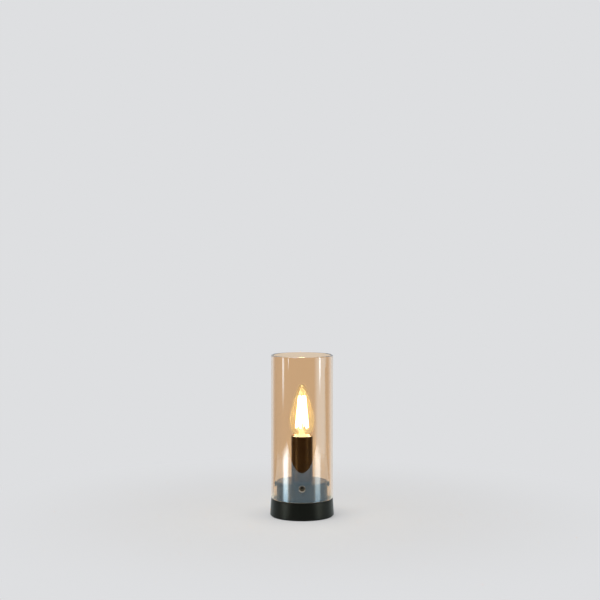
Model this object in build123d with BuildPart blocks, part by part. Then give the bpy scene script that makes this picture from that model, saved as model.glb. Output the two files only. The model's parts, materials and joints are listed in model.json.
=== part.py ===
from build123d import *
import os
from math import cos, radians, sin, sqrt, tan

# Table lamp: a tinted glass cylinder stands on a round black base, round a drum that
# carries a candle lampholder and its bulb.
# Frame: origin on the table under the middle of the base, +Z up, front towards -Y,
# cord inlet towards +Y. All sizes are millimetres.

# Clearances
FIT_GAP = 0.2  # between pieces that slip into each other
THREAD_GAP = 0.05  # round a screw in its tapped hole
GUIDE_GAP = 0.05  # round the contact plunger in its guide
GLUE_GAP = 0.05  # between pieces that are cemented or crimped
CUT_OVERRUN = 1.0  # how far a cut reaches past what it cuts
FULL_TURN = 360  # degrees

# Glass cylinder
GLASS_DIAMETER = 85.0
GLASS_HEIGHT = 197.5
GLASS_WALL = 3.0
GLASS_EDGE_ROUND = 0.9
GLASS_HOLE = 8.0  # lets a screwdriver reach the front screw

# Foot pad, bottom plate and base shell
PAD_THICKNESS = 1.5
PAD_INSET = 1.0
PLATE_THICKNESS = 2.5
SHELL_HEIGHT = 23.0
SHELL_WALL = 2.5
SHELL_TOP = 2.0
SHELL_FLARE = 1.4  # how much wider the foot is than the top, on the radius
FOOT_CHAMFER = 1.2
SHELL_EDGE_ROUND = 0.8

# Ballast and the screws that clamp it
WEIGHT_THICKNESS = 10.0
WEIGHT_WALL_GAP = 2.5
WEIGHT_BORE = 32.0
WEIGHT_NOTCH_GAP = 1.5  # between the terminal block and the notch that clears it
PLATE_SCREW_INSET = 13.0  # from the shell's inner wall
PLATE_SCREW_ANGLES = (270, 20, 160)
PLATE_SCREW_DIAMETER = 4.0
PLATE_SCREW_HEAD = 7.6
COUNTERSINK_ANGLE = 90  # degrees
PLATE_SCREW_BITE = 4.0
SMALL_SLOT = 0.8  # width of the slots in the base's screws
PLATE_BOSS_DIAMETER = 9.0
CLEARANCE_HOLE_GAP = 0.3

# Cord inlet bush and cord clamp
CORD_HEIGHT = 11.0
CORD_BORE = 6.2
BUSH_WALL = 1.4
BUSH_FLANGE = 12.5
BUSH_PROUD = 1.6
BUSH_INSIDE = 2.0
CLAMP_LENGTH = 22.0
CLAMP_WIDTH = 6.5
CLAMP_WALL_GAP = 1.5
CLAMP_SPAN = 15.0
CLAMP_SQUEEZE = 0.3  # how much narrower than the bore the channel grips
CLAMP_FLOOR = 2.6
CLAMP_SCREW_DIAMETER = 3.0
CLAMP_SCREW_HEAD = 5.2
CLAMP_SCREW_HEAD_HEIGHT = 1.2
CLAMP_SCREW_BITE = 4.0

# Terminal block in the base
POLE_PITCH = 8.0
POLE_COUNT = 3
BLOCK_END = 0.5
BLOCK_DEPTH = 11.0
BLOCK_HEIGHT = 10.0
BLOCK_CLAMP_GAP = 1.0
BLOCK_PAD = 4.0
POLE_TUBE_DIAMETER = 5.0
POLE_TUBE_BORE = 3.0
POLE_SCREW_DIAMETER = 2.5
POLE_SCREW_INSET = 2.6
BLOCK_SCREW_DIAMETER = 2.5
BLOCK_SCREW_HEAD = 4.4
BLOCK_SCREW_HEAD_HEIGHT = 1.4
BLOCK_SCREW_BITE = 3.0

# Earth point
EARTH_RADIUS = 24.0
EARTH_ANGLE = -50.0
EARTH_BOSS_DIAMETER = 8.0
EARTH_BOSS_HEIGHT = 2.0
EARTH_SCREW_DIAMETER = 3.5
EARTH_SCREW_HEAD = 6.5
EARTH_SCREW_HEAD_HEIGHT = 1.8
EARTH_SCREW_BITE = 2.6
LUG_DIAMETER = 7.6
LUG_THICKNESS = 0.8
LUG_REACH = 9.0
LUG_BARREL_LENGTH = 5.0
LUG_BARREL_WALL = 0.5

# Threaded stem that joins base, drum and lampholder
STEM_DIAMETER = 10.0
STEM_BORE = 7.5
STEM_PROUD = 2.0
STEM_NUT_FLATS = 14.0
STEM_NUT_HEIGHT = 4.0
STEM_WASHER_DIAMETER = 17.0
STEM_WASHER_THICKNESS = 1.0

# Drum and the screws that centre the glass
DRUM_GAP = 4.5  # between the drum and the glass
DRUM_HEIGHT = 23.9
DRUM_WALL = 1.2
DRUM_TOP = 1.5
DRUM_EDGE_ROUND = 0.7
GLASS_SCREW_ANGLES = (270, 0, 90, 180)
GLASS_SCREW_DROP = 4.4
GLASS_SCREW_DIAMETER = 3.0
GLASS_SCREW_HEAD = 7.0
GLASS_SCREW_HEAD_HEIGHT = 2.6
GLASS_SCREW_HEAD_ROUND = 0.5
GLASS_SCREW_GAP = 1.2
GLASS_SCREW_RECESS = 4.6  # across the cross recess in the head
GLASS_SCREW_SLOT = 1.8
GLASS_SCREW_SLOT_DEPTH = 1.8
GLASS_NUT_FLATS = 5.5
GLASS_NUT_HEIGHT = 2.4

# Candle sleeve and lampholder
SLEEVE_DIAMETER = 29.5
SLEEVE_WALL = 1.5
SLEEVE_LENGTH = 62.0
SLEEVE_EDGE_ROUND = 0.4
BODY_DROP = 1.0  # the lampholder body's mouth lies this far below the sleeve's
BODY_LENGTH = 49.0
BODY_SKIRT_WALL = 1.6
BRACKET_THICKNESS = 1.2
BRACKET_ARM_WIDTH = 9.0
BRACKET_ARM_OVERLAP = 9.0
RIVET_DIAMETER = 2.5
RIVET_HEAD = 3.6
RIVET_HEAD_HEIGHT = 0.7
RIVET_LENGTH = 4.0
RIVET_ANGLES = (0, 180)
HOLDER_TERMINAL_WIDTH = 6.0
HOLDER_TERMINAL_DEPTH = 5.0
HOLDER_TERMINAL_HEIGHT = 7.0
HOLDER_TERMINAL_OFFSET = 7.5
HOLDER_TERMINAL_ANGLES = (90, 270)  # live at the back, neutral at the front
WIRE_HOLE_DEPTH = 5.2
HOLDER_SCREW_DIAMETER = 2.5
HOLDER_SCREW_HEAD = 4.0
HOLDER_SCREW_HEAD_HEIGHT = 1.3
STRAP_THICKNESS = 0.5
STRAP_WIDTH = 4.0
STRAP_LAP = 4.0  # how far the neutral strap laps the thread shell

# Bulb screw thread, shared by the cap and the lampholder's shell
THREAD_PITCH = 2.822
THREAD_CORE = 12.5  # outside diameter of the cap between its ridges
THREAD_RIDGE = 0.7  # radius of a ridge's round section
THREAD_RIDGE_RISE = 0.65  # how far a ridge stands above the core
THREAD_RADIAL_GAP = 0.15  # between the cap's ridges and the lampholder's shell
THREAD_TURNS = 4.0
SHELL_RIDGE = 0.6
SHELL_RIDGE_RISE = 0.4
SHELL_THICKNESS = 0.6
SHELL_TURNS = 3.5

# Contact plunger
BULB_TURN = 360.0  # degrees that the plunger follows the bulb as it is unscrewed
PLUNGER_HEAD = 6.0
PLUNGER_HEAD_HEIGHT = 1.5
PLUNGER_STEM = 3.0
PLUNGER_PROUD = 2.0  # height of the seated plunger above the cavity floor
POCKET_DEPTH = 3.6
GUIDE_LENGTH = 3.0
CLIP_DIAMETER = 5.0
CLIP_THICKNESS = 0.6
CLIP_GROOVE = 0.4
CLIP_GAP = 0.2
SPRING_WIRE = 0.6
SPRING_TURNS = 3.5

# Bulb
BULB_LENGTH = 100.0
BULB_DIAMETER = 35.0
BULB_WALL = 0.8
CAP_HEIGHT = 25.0
CAP_RIM_DROP = 2.4  # the cap's rim lies this far below the body's mouth
CAP_WALL = 0.4
CAP_FLARE_DIAMETER = 17.0
CAP_FLARE_HEIGHT = 3.0
CAP_CONE_HEIGHT = 2.6
MOUTH_GAP = 0.4  # round the cap's flare in the lampholder's mouth
CAP_CONTACT_DIAMETER = 5.0
CAP_CONTACT_HEIGHT = 0.9
CAP_CONTACT_STEM = 1.6
INSULATOR_HEIGHT = 3.6
INSULATOR_TIP_DIAMETER = 6.4
INSULATOR_PLUG = 1.2
MOUNT_WAIST_DIAMETER = 8.4
MOUNT_SKIRT_HEIGHT = 7.0
MOUNT_PINCH_HEIGHT = 14.0
MOUNT_ROD_DIAMETER = 3.6
MOUNT_HEIGHT = 21.0
FILAMENT_COUNT = 6
FILAMENT_DIAMETER = 2.2
FILAMENT_START_SHARE = 0.25  # of the angle between two filaments
FILAMENT_LENGTH = 44.0
FILAMENT_LIFT = 14.5  # of the filaments' lower ends above the cap's rim
FILAMENT_FOOT_RADIUS = 8.6
FILAMENT_HEAD_RADIUS = 4.4
LEAD_DIAMETER = 0.6
DRIVER_WIDTH = 8.4
DRIVER_HEIGHT = 12.0
DRIVER_BOARD = 1.0
DRIVER_CAN_DIAMETER = 4.0
DRIVER_CAN_HEIGHT = 6.0
DRIVER_CHIP_SIZE = 2.6

# Outline of the bulb's glass above the cap's rim: share of the glass height, share of
# the widest radius. The neck and the tip close it at the two ends.
BULB_OUTLINE_SHARES = (
    (0.045, 0.525),
    (0.090, 0.710),
    (0.150, 0.865),
    (0.235, 0.965),
    (0.325, 1.000),
    (0.425, 0.965),
    (0.530, 0.870),
    (0.640, 0.745),
    (0.740, 0.600),
    (0.830, 0.430),
    (0.910, 0.240),
    (0.970, 0.100),
)
BULB_END_PULL = 1.0  # of the outline's upright start at the neck and its level end at the tip

# Wires
WIRE_DIAMETER = 2.2
WIRE_SPACING = 3.2  # between the two wires inside the stem
WIRE_FLOOR_GAP = 1.5
WIRE_TURN = 4.5  # how far from the axis the wires start their turn into the stem
WIRE_LIFT = 1.0  # above the stem, where the wires start to spread
WIRE_ENTRY = 4.5  # below the lampholder's terminals, where they turn up into them
WIRE_TAIL = 4.0  # straight run of a wire where it leaves a terminal
ARC_RUN_SHARE = 0.45

# Levels
shell_bottom_z = PAD_THICKNESS
plate_top_z = shell_bottom_z + PLATE_THICKNESS
weight_top_z = plate_top_z + WEIGHT_THICKNESS
seat_z = shell_bottom_z + SHELL_HEIGHT
ceiling_z = seat_z - SHELL_TOP
drum_top_z = seat_z + DRUM_HEIGHT
sleeve_top_z = drum_top_z + SLEEVE_LENGTH
body_top_z = sleeve_top_z - BODY_DROP
body_bottom_z = body_top_z - BODY_LENGTH
cap_rim_z = body_top_z - CAP_RIM_DROP
bulb_foot_z = cap_rim_z - CAP_HEIGHT
bulb_tip_z = bulb_foot_z + BULB_LENGTH
floor_z = bulb_foot_z - PLUNGER_PROUD
pocket_z = floor_z - POCKET_DEPTH
terminal_top_z = pocket_z - STRAP_THICKNESS
terminal_bottom_z = terminal_top_z - HOLDER_TERMINAL_HEIGHT

# Radii
glass_radius = GLASS_DIAMETER / 2
glass_inner_radius = glass_radius - GLASS_WALL
shell_top_radius = glass_radius
shell_foot_radius = shell_top_radius + SHELL_FLARE
drum_radius = glass_inner_radius - DRUM_GAP
drum_inner_radius = drum_radius - DRUM_WALL
sleeve_radius = SLEEVE_DIAMETER / 2
sleeve_inner_radius = sleeve_radius - SLEEVE_WALL
body_radius = sleeve_inner_radius - FIT_GAP
stem_radius = STEM_DIAMETER / 2
wire_radius = WIRE_DIAMETER / 2

bottom_up = (Align.CENTER, Align.CENTER, Align.MIN)
top_down = (Align.CENTER, Align.CENTER, Align.MAX)


def shell_radius(z):
    """Outside radius of the tapered base shell at height z."""
    widest_z = shell_bottom_z + FOOT_CHAMFER
    rise = (z - widest_z) / (seat_z - widest_z)
    return shell_foot_radius - SHELL_FLARE * rise


def polar(radius, angle):
    """Point on a circle round the Z axis, with the angle in degrees from +X."""
    return radius * cos(radians(angle)), radius * sin(radians(angle))


def level(z):
    """Horizontal plane at height z."""
    return Plane.XY.offset(z)


def facing_down(x, y, z):
    """Plane at a point, looking down."""
    return Plane(origin=(x, y, z), x_dir=(1, 0, 0), z_dir=(0, 0, -1))


def facing_out(radius, angle, z):
    """Plane at a point round the Z axis, looking away from it."""
    x, y = polar(radius, angle)
    return Plane(origin=(x, y, z), x_dir=(-y, x, 0), z_dir=(x, y, 0))


def revolve_outline(points):
    """Turns a closed outline of (radius, height) points about the Z axis."""
    with BuildPart() as turned:
        with BuildSketch(Plane.XZ):
            with BuildLine():
                Polyline(*points, close=True)
            make_face()
        revolve(axis=Axis.Z)
    return turned.part


def slotted_screw(thread, head, head_height, length, slot, edge_round=0):
    """Cheese-head screw along Z: the head stands on z = 0 and the thread hangs below."""
    with BuildPart() as screw:
        Cylinder(head / 2, head_height, align=bottom_up)
        if edge_round:
            fillet(screw.edges().sort_by(Axis.Z)[-1], edge_round)
        Cylinder(thread / 2, length, align=top_down)
        with Locations((0, 0, head_height)):
            Box(head + CUT_OVERRUN, slot, head_height, mode=Mode.SUBTRACT)
    return screw.part


def countersunk_screw(thread, head, length, slot):
    """Flat-head screw along Z: the head's face is at z = 0 and the thread hangs below."""
    cone = (head - thread) / 2
    with BuildPart() as screw:
        add(revolve_outline([(0, 0), (head / 2, 0), (thread / 2, -cone),
                             (thread / 2, -length), (0, -length)]))
        Box(head + CUT_OVERRUN, slot, cone, mode=Mode.SUBTRACT)
    return screw.part


def hex_nut(flats, height, bore):
    """Hexagon nut standing on z = 0."""
    with BuildPart() as nut:
        with BuildSketch():
            RegularPolygon(flats / 2, 6, major_radius=False)
            Circle(bore / 2, mode=Mode.SUBTRACT)
        extrude(amount=height)
    return nut.part


def washer(outside, thickness, bore):
    """Flat washer standing on z = 0."""
    with BuildPart() as ring:
        Cylinder(outside / 2, thickness, align=bottom_up)
        Hole(bore / 2)
    return ring.part


def helical_ridge(radius, ridge, z, turns):
    """Round thread ridge that climbs one pitch a turn from height z."""
    with BuildPart() as thread:
        with BuildLine() as climb:
            Helix(THREAD_PITCH, THREAD_PITCH * turns, radius, center=(0, 0, z))
        with BuildSketch(climb.line ^ 0):
            Circle(ridge)
        sweep(is_frenet=True)
    return thread.part


def wire_along(points):
    """Insulated wire along straight runs joined by arcs as large as the runs allow."""
    corners = [Vector(*p) for p in points]
    arcs = []
    for before, corner, after in zip(corners, corners[1:], corners[2:]):
        turn = (corner - before).get_angle(after - corner)
        run = min((corner - before).length, (after - corner).length)
        arcs.append(ARC_RUN_SHARE * run / tan(radians(turn / 2)))
    print("wire arc radii", [round(arc, 1) for arc in arcs])
    with BuildPart() as wire:
        with BuildLine() as route:
            FilletPolyline(*points, radius=arcs)
        with BuildSketch(route.line ^ 0):
            Circle(wire_radius)
        sweep()
    return wire.part


os.makedirs("parts", exist_ok=True)


def finish(name, part):
    """Labels a finished piece and writes it under its own name."""
    part.label = name
    export_step(part, f"parts/{name}.step")


# Glass cylinder, open at both ends, with ground and polished edges and a hole in front of one screw
glass_screw_z = drum_top_z - GLASS_SCREW_DROP
with BuildPart() as glass_shade:
    with BuildSketch(level(seat_z)):
        Circle(glass_radius)
        Circle(glass_inner_radius, mode=Mode.SUBTRACT)
    extrude(amount=GLASS_HEIGHT)
    fillet(glass_shade.edges().filter_by(GeomType.CIRCLE), GLASS_EDGE_ROUND)
    with Locations(facing_out(glass_radius, GLASS_SCREW_ANGLES[0], glass_screw_z)):
        Cylinder(GLASS_HOLE / 2, 2 * GLASS_WALL + CUT_OVERRUN, mode=Mode.SUBTRACT)
finish("glass_shade", glass_shade.part)

# Foot pad, glued under the base
foot_edge_radius = shell_foot_radius - FOOT_CHAMFER
with BuildPart() as foot_pad:
    Cylinder(foot_edge_radius - PAD_INSET, PAD_THICKNESS, align=bottom_up)
finish("foot_pad", foot_pad.part)

# Places inside the base
shell_inner_radius = shell_radius(ceiling_z) - SHELL_WALL
plate_screw_radius = shell_inner_radius - PLATE_SCREW_INSET
plate_screw_spots = [polar(plate_screw_radius, angle) for angle in PLATE_SCREW_ANGLES]
plate_screw_hole = PLATE_SCREW_DIAMETER / 2 + CLEARANCE_HOLE_GAP

clamp_outer_y = sqrt(shell_inner_radius**2 - (CLAMP_LENGTH / 2) ** 2) - CLAMP_WALL_GAP
clamp_y = clamp_outer_y - CLAMP_WIDTH / 2
channel_radius = (CORD_BORE - CLAMP_SQUEEZE) / 2
clamp_top_z = CORD_HEIGHT + channel_radius
clamp_bottom_z = CORD_HEIGHT - channel_radius - CLAMP_FLOOR
clamp_screw_spots = [(side * CLAMP_SPAN / 2, clamp_y) for side in (-1, 1)]

block_start_y = clamp_outer_y - CLAMP_WIDTH - BLOCK_CLAMP_GAP - BLOCK_DEPTH
block_y = block_start_y + BLOCK_DEPTH / 2
block_top_z = ceiling_z - BLOCK_PAD
block_bottom_z = block_top_z - BLOCK_HEIGHT
block_length = POLE_COUNT * POLE_PITCH + 2 * BLOCK_END
pole_z = block_bottom_z + BLOCK_HEIGHT / 2
pole_xs = [POLE_PITCH * (n - (POLE_COUNT - 1) / 2) for n in range(POLE_COUNT)]
block_screw_xs = [(a + b) / 2 for a, b in zip(pole_xs, pole_xs[1:])]
block_screw_spots = [(x, block_y) for x in block_screw_xs]

earth_x, earth_y = polar(EARTH_RADIUS, EARTH_ANGLE)
earth_boss_z = ceiling_z - EARTH_BOSS_HEIGHT

# Solid outside form of the base shell
shell_form = revolve_outline([
    (0, shell_bottom_z),
    (foot_edge_radius, shell_bottom_z),
    (shell_foot_radius, shell_bottom_z + FOOT_CHAMFER),
    (shell_top_radius, seat_z),
    (0, seat_z),
])

# Base shell: one casting with bosses for the ballast, cord clamp, terminals and earth
bush_neck_radius = CORD_BORE / 2 + BUSH_WALL
with BuildPart() as base_shell:
    add(shell_form)
    fillet(base_shell.edges().group_by(Axis.Z)[-1], SHELL_EDGE_ROUND)
    add(
        revolve_outline([
            (0, shell_bottom_z),
            (shell_radius(shell_bottom_z) - SHELL_WALL, shell_bottom_z),
            (shell_inner_radius, ceiling_z),
            (0, ceiling_z),
        ]),
        mode=Mode.SUBTRACT,
    )
    with BuildSketch(level(weight_top_z)):
        with Locations(*plate_screw_spots):
            Circle(PLATE_BOSS_DIAMETER / 2)
    extrude(amount=ceiling_z - weight_top_z)
    with BuildSketch(level(clamp_top_z)):
        with Locations((0, clamp_y)):
            Rectangle(CLAMP_LENGTH, CLAMP_WIDTH)
    extrude(amount=ceiling_z - clamp_top_z)
    with BuildSketch(level(block_top_z)):
        with Locations((0, block_y)):
            Rectangle(block_length, BLOCK_DEPTH)
    extrude(amount=BLOCK_PAD)
    with BuildSketch(level(earth_boss_z)):
        with Locations((earth_x, earth_y)):
            Circle(EARTH_BOSS_DIAMETER / 2)
    extrude(amount=EARTH_BOSS_HEIGHT)
    with Locations(*[facing_down(x, y, weight_top_z) for x, y in plate_screw_spots]):
        Hole(PLATE_SCREW_DIAMETER / 2 + THREAD_GAP, depth=PLATE_SCREW_BITE + FIT_GAP)
    with Locations(*[facing_down(x, y, clamp_top_z) for x, y in clamp_screw_spots]):
        Hole(CLAMP_SCREW_DIAMETER / 2 + THREAD_GAP, depth=CLAMP_SCREW_BITE + FIT_GAP)
    with Locations(*[facing_down(x, y, block_top_z) for x, y in block_screw_spots]):
        Hole(BLOCK_SCREW_DIAMETER / 2 + THREAD_GAP, depth=BLOCK_SCREW_BITE + FIT_GAP)
    with Locations(facing_down(earth_x, earth_y, earth_boss_z)):
        Hole(EARTH_SCREW_DIAMETER / 2 + THREAD_GAP, depth=EARTH_SCREW_BITE + FIT_GAP)
    with BuildSketch(level(ceiling_z)):
        Circle(stem_radius + FIT_GAP)
    extrude(amount=SHELL_TOP, mode=Mode.SUBTRACT)
    with BuildSketch(Plane(origin=(0, clamp_outer_y, CORD_HEIGHT), z_dir=(0, 1, 0))):
        Circle(bush_neck_radius + THREAD_GAP)
    extrude(amount=shell_foot_radius, mode=Mode.SUBTRACT)
finish("base_shell", base_shell.part)

# Bottom plate with countersunk screw holes
plate_radius = shell_radius(plate_top_z) - SHELL_WALL - FIT_GAP
with BuildPart() as bottom_plate:
    with Locations((0, 0, shell_bottom_z)):
        Cylinder(plate_radius, PLATE_THICKNESS, align=bottom_up)
    with Locations(*[facing_down(x, y, shell_bottom_z) for x, y in plate_screw_spots]):
        CounterSinkHole(plate_screw_hole, PLATE_SCREW_HEAD / 2 + THREAD_GAP,
                        counter_sink_angle=COUNTERSINK_ANGLE)
finish("bottom_plate", bottom_plate.part)

# Cast iron ballast, notched at the back for the wiring
weight_radius = shell_radius(weight_top_z) - SHELL_WALL - WEIGHT_WALL_GAP
with BuildPart() as base_weight:
    with BuildSketch(level(plate_top_z)):
        Circle(weight_radius)
        Circle(WEIGHT_BORE / 2, mode=Mode.SUBTRACT)
        Rectangle(block_length + 2 * WEIGHT_NOTCH_GAP, weight_radius + CUT_OVERRUN,
                  align=(Align.CENTER, Align.MIN), mode=Mode.SUBTRACT)
        with Locations(*plate_screw_spots):
            Circle(plate_screw_hole, mode=Mode.SUBTRACT)
    extrude(amount=WEIGHT_THICKNESS)
finish("base_weight", base_weight.part)

# Screws that clamp plate and ballast to the shell
plate_screw = countersunk_screw(
    PLATE_SCREW_DIAMETER, PLATE_SCREW_HEAD,
    PLATE_THICKNESS + WEIGHT_THICKNESS + PLATE_SCREW_BITE, SMALL_SLOT)
with BuildPart() as plate_screws:
    with Locations(*[facing_down(x, y, shell_bottom_z) for x, y in plate_screw_spots]):
        add(plate_screw)
finish("plate_screws", plate_screws.part)

# Bush that lines the cord's hole, its flange fitted to the shell's taper
wall_out_y = shell_radius(CORD_HEIGHT)
bush_inner_y = wall_out_y - SHELL_WALL - BUSH_INSIDE
bush_outer_y = wall_out_y + BUSH_PROUD
bush_start = Plane(origin=(0, bush_inner_y, CORD_HEIGHT), z_dir=(0, 1, 0))
with BuildPart() as cord_bush:
    with BuildSketch(bush_start):
        Circle(BUSH_FLANGE / 2)
    extrude(amount=bush_outer_y - bush_inner_y)
    fillet(cord_bush.faces().sort_by(Axis.Y)[-1].edges(), BUSH_PROUD / 2)
    add(shell_form, mode=Mode.SUBTRACT)
    with BuildSketch(bush_start):
        Circle(bush_neck_radius)
    extrude(amount=bush_outer_y - bush_inner_y - BUSH_PROUD / 2)
    with BuildSketch(bush_start):
        Circle(CORD_BORE / 2)
    extrude(amount=bush_outer_y - bush_inner_y, mode=Mode.SUBTRACT)
finish("cord_bush", cord_bush.part)

# Saddle that would grip the cord against the shell's boss, and its screws
with BuildPart() as clamp_saddle:
    with BuildSketch(level(clamp_bottom_z)):
        with Locations((0, clamp_y)):
            Rectangle(CLAMP_LENGTH, CLAMP_WIDTH)
        with Locations(*clamp_screw_spots):
            Circle(CLAMP_SCREW_DIAMETER / 2 + CLEARANCE_HOLE_GAP, mode=Mode.SUBTRACT)
    extrude(amount=clamp_top_z - clamp_bottom_z)
    with BuildSketch(Plane(origin=(0, clamp_outer_y, CORD_HEIGHT), z_dir=(0, -1, 0))):
        Circle(channel_radius)
        Rectangle(2 * channel_radius, channel_radius, align=(Align.CENTER, Align.MIN))
    extrude(amount=CLAMP_WIDTH, mode=Mode.SUBTRACT)
finish("clamp_saddle", clamp_saddle.part)

clamp_screw = slotted_screw(
    CLAMP_SCREW_DIAMETER, CLAMP_SCREW_HEAD, CLAMP_SCREW_HEAD_HEIGHT,
    clamp_top_z - clamp_bottom_z + CLAMP_SCREW_BITE, SMALL_SLOT)
with BuildPart() as clamp_screws:
    with Locations(*[facing_down(x, y, clamp_bottom_z) for x, y in clamp_screw_spots]):
        add(clamp_screw)
finish("clamp_screws", clamp_screws.part)

# Terminal block: a plastic strip with a brass tube and two grub screws for each pole
pole_screw_ys = [block_y + side * (BLOCK_DEPTH / 2 - POLE_SCREW_INSET) for side in (-1, 1)]
pole_screw_spots = [(x, y) for x in pole_xs for y in pole_screw_ys]
pole_planes = [Plane(origin=(x, block_start_y, pole_z), z_dir=(0, 1, 0)) for x in pole_xs]
with BuildPart() as terminal_block:
    with BuildSketch(level(block_bottom_z)):
        with Locations((0, block_y)):
            Rectangle(block_length, BLOCK_DEPTH)
        with Locations(*block_screw_spots):
            Circle(BLOCK_SCREW_DIAMETER / 2 + THREAD_GAP, mode=Mode.SUBTRACT)
    extrude(amount=BLOCK_HEIGHT)
    with Locations(*pole_planes):
        Cylinder(POLE_TUBE_DIAMETER / 2 + GLUE_GAP, BLOCK_DEPTH, align=bottom_up,
                 mode=Mode.SUBTRACT)
    with Locations(*[(x, y, block_bottom_z) for x, y in pole_screw_spots]):
        Cylinder(POLE_SCREW_DIAMETER / 2 + THREAD_GAP, BLOCK_HEIGHT / 2, align=bottom_up,
                 mode=Mode.SUBTRACT)
finish("terminal_block", terminal_block.part)

with BuildPart() as terminal_tubes:
    with Locations(*pole_planes):
        Cylinder(POLE_TUBE_DIAMETER / 2, BLOCK_DEPTH, align=bottom_up)
        Cylinder(POLE_TUBE_BORE / 2, BLOCK_DEPTH, align=bottom_up, mode=Mode.SUBTRACT)
    with Locations(*[(x, y, block_bottom_z) for x, y in pole_screw_spots]):
        Cylinder(POLE_SCREW_DIAMETER / 2 + THREAD_GAP, BLOCK_HEIGHT / 2, align=bottom_up,
                 mode=Mode.SUBTRACT)
finish("terminal_tubes", terminal_tubes.part)

pole_screw_length = pole_z - wire_radius - THREAD_GAP - block_bottom_z
with BuildPart() as terminal_screws:
    with Locations(*[(x, y, block_bottom_z) for x, y in pole_screw_spots]):
        Cylinder(POLE_SCREW_DIAMETER / 2, pole_screw_length, align=bottom_up)
        Box(POLE_SCREW_DIAMETER, SMALL_SLOT, SMALL_SLOT, align=bottom_up,
            mode=Mode.SUBTRACT)
finish("terminal_screws", terminal_screws.part)

block_screw = slotted_screw(
    BLOCK_SCREW_DIAMETER, BLOCK_SCREW_HEAD, BLOCK_SCREW_HEAD_HEIGHT,
    BLOCK_HEIGHT + BLOCK_SCREW_BITE, SMALL_SLOT)
with BuildPart() as block_screws:
    with Locations(*[facing_down(x, y, block_bottom_z) for x, y in block_screw_spots]):
        add(block_screw)
finish("block_screws", block_screws.part)

# Earth lug and screw under the shell's earth boss
lug_wire_radius = wire_radius + GLUE_GAP
lug_barrel_radius = lug_wire_radius + LUG_BARREL_WALL
lug_barrel_z = earth_boss_z - lug_barrel_radius
lug_barrel_y = earth_y + LUG_REACH - LUG_BARREL_LENGTH
lug_barrel_start = Plane(origin=(earth_x, lug_barrel_y, lug_barrel_z), z_dir=(0, 1, 0))
with BuildPart() as earth_lug:
    with BuildSketch(level(earth_boss_z - LUG_THICKNESS)):
        with Locations((earth_x, earth_y)):
            Circle(LUG_DIAMETER / 2)
            Rectangle(2 * lug_barrel_radius, LUG_REACH, align=(Align.CENTER, Align.MIN))
        with Locations((earth_x, earth_y)):
            Circle(EARTH_SCREW_DIAMETER / 2 + CLEARANCE_HOLE_GAP, mode=Mode.SUBTRACT)
    extrude(amount=LUG_THICKNESS)
    with BuildSketch(lug_barrel_start):
        Circle(lug_barrel_radius)
    extrude(amount=LUG_BARREL_LENGTH)
    with BuildSketch(lug_barrel_start):
        Circle(lug_wire_radius)
    extrude(amount=LUG_BARREL_LENGTH, mode=Mode.SUBTRACT)
finish("earth_lug", earth_lug.part)

earth_screw_shape = slotted_screw(
    EARTH_SCREW_DIAMETER, EARTH_SCREW_HEAD, EARTH_SCREW_HEAD_HEIGHT,
    LUG_THICKNESS + EARTH_SCREW_BITE, SMALL_SLOT)
with BuildPart() as earth_screw:
    with Locations(facing_down(earth_x, earth_y, earth_boss_z - LUG_THICKNESS)):
        add(earth_screw_shape)
finish("earth_screw", earth_screw.part)

# Drum: an inverted cup that carries the lampholder and the glass screws
glass_screw_hole = GLASS_SCREW_DIAMETER / 2 + THREAD_GAP
with BuildPart() as drum:
    with BuildSketch(level(seat_z)):
        Circle(drum_radius)
    extrude(amount=DRUM_HEIGHT)
    fillet(drum.edges().group_by(Axis.Z)[-1], DRUM_EDGE_ROUND)
    with BuildSketch(level(seat_z)):
        Circle(drum_inner_radius)
    extrude(amount=DRUM_HEIGHT - DRUM_TOP, mode=Mode.SUBTRACT)
    with BuildSketch(level(drum_top_z)):
        Circle(stem_radius + FIT_GAP)
    extrude(amount=-DRUM_TOP, mode=Mode.SUBTRACT)
    with Locations(*[facing_out(drum_inner_radius, angle, glass_screw_z)
                     for angle in GLASS_SCREW_ANGLES]):
        Cylinder(glass_screw_hole, 2 * DRUM_WALL + CUT_OVERRUN, mode=Mode.SUBTRACT)
finish("drum", drum.part)

# Screws whose heads keep the glass centred, and the nuts behind them
head_corner = GLASS_SCREW_HEAD / 2
head_face_radius = sqrt((glass_inner_radius - GLASS_SCREW_GAP) ** 2 - head_corner**2)
head_seat_radius = head_face_radius - GLASS_SCREW_HEAD_HEIGHT
nut_corner = GLASS_NUT_FLATS / sqrt(3)
nut_face_radius = sqrt((drum_inner_radius - THREAD_GAP) ** 2 - nut_corner**2)
nut_back_radius = nut_face_radius - GLASS_NUT_HEIGHT
with BuildPart() as glass_screw:
    Cylinder(GLASS_SCREW_HEAD / 2, GLASS_SCREW_HEAD_HEIGHT, align=bottom_up)
    fillet(glass_screw.edges().sort_by(Axis.Z)[-1], GLASS_SCREW_HEAD_ROUND)
    Cylinder(GLASS_SCREW_DIAMETER / 2, head_seat_radius - nut_back_radius, align=top_down)
    with Locations((0, 0, GLASS_SCREW_HEAD_HEIGHT)):
        for length, width in ((GLASS_SCREW_RECESS, GLASS_SCREW_SLOT),
                              (GLASS_SCREW_SLOT, GLASS_SCREW_RECESS)):
            Box(length, width, GLASS_SCREW_SLOT_DEPTH, align=top_down, mode=Mode.SUBTRACT)
with BuildPart() as glass_screws:
    with Locations(*[facing_out(head_seat_radius, angle, glass_screw_z)
                     for angle in GLASS_SCREW_ANGLES]):
        add(glass_screw.part)
finish("glass_screws", glass_screws.part)

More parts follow.
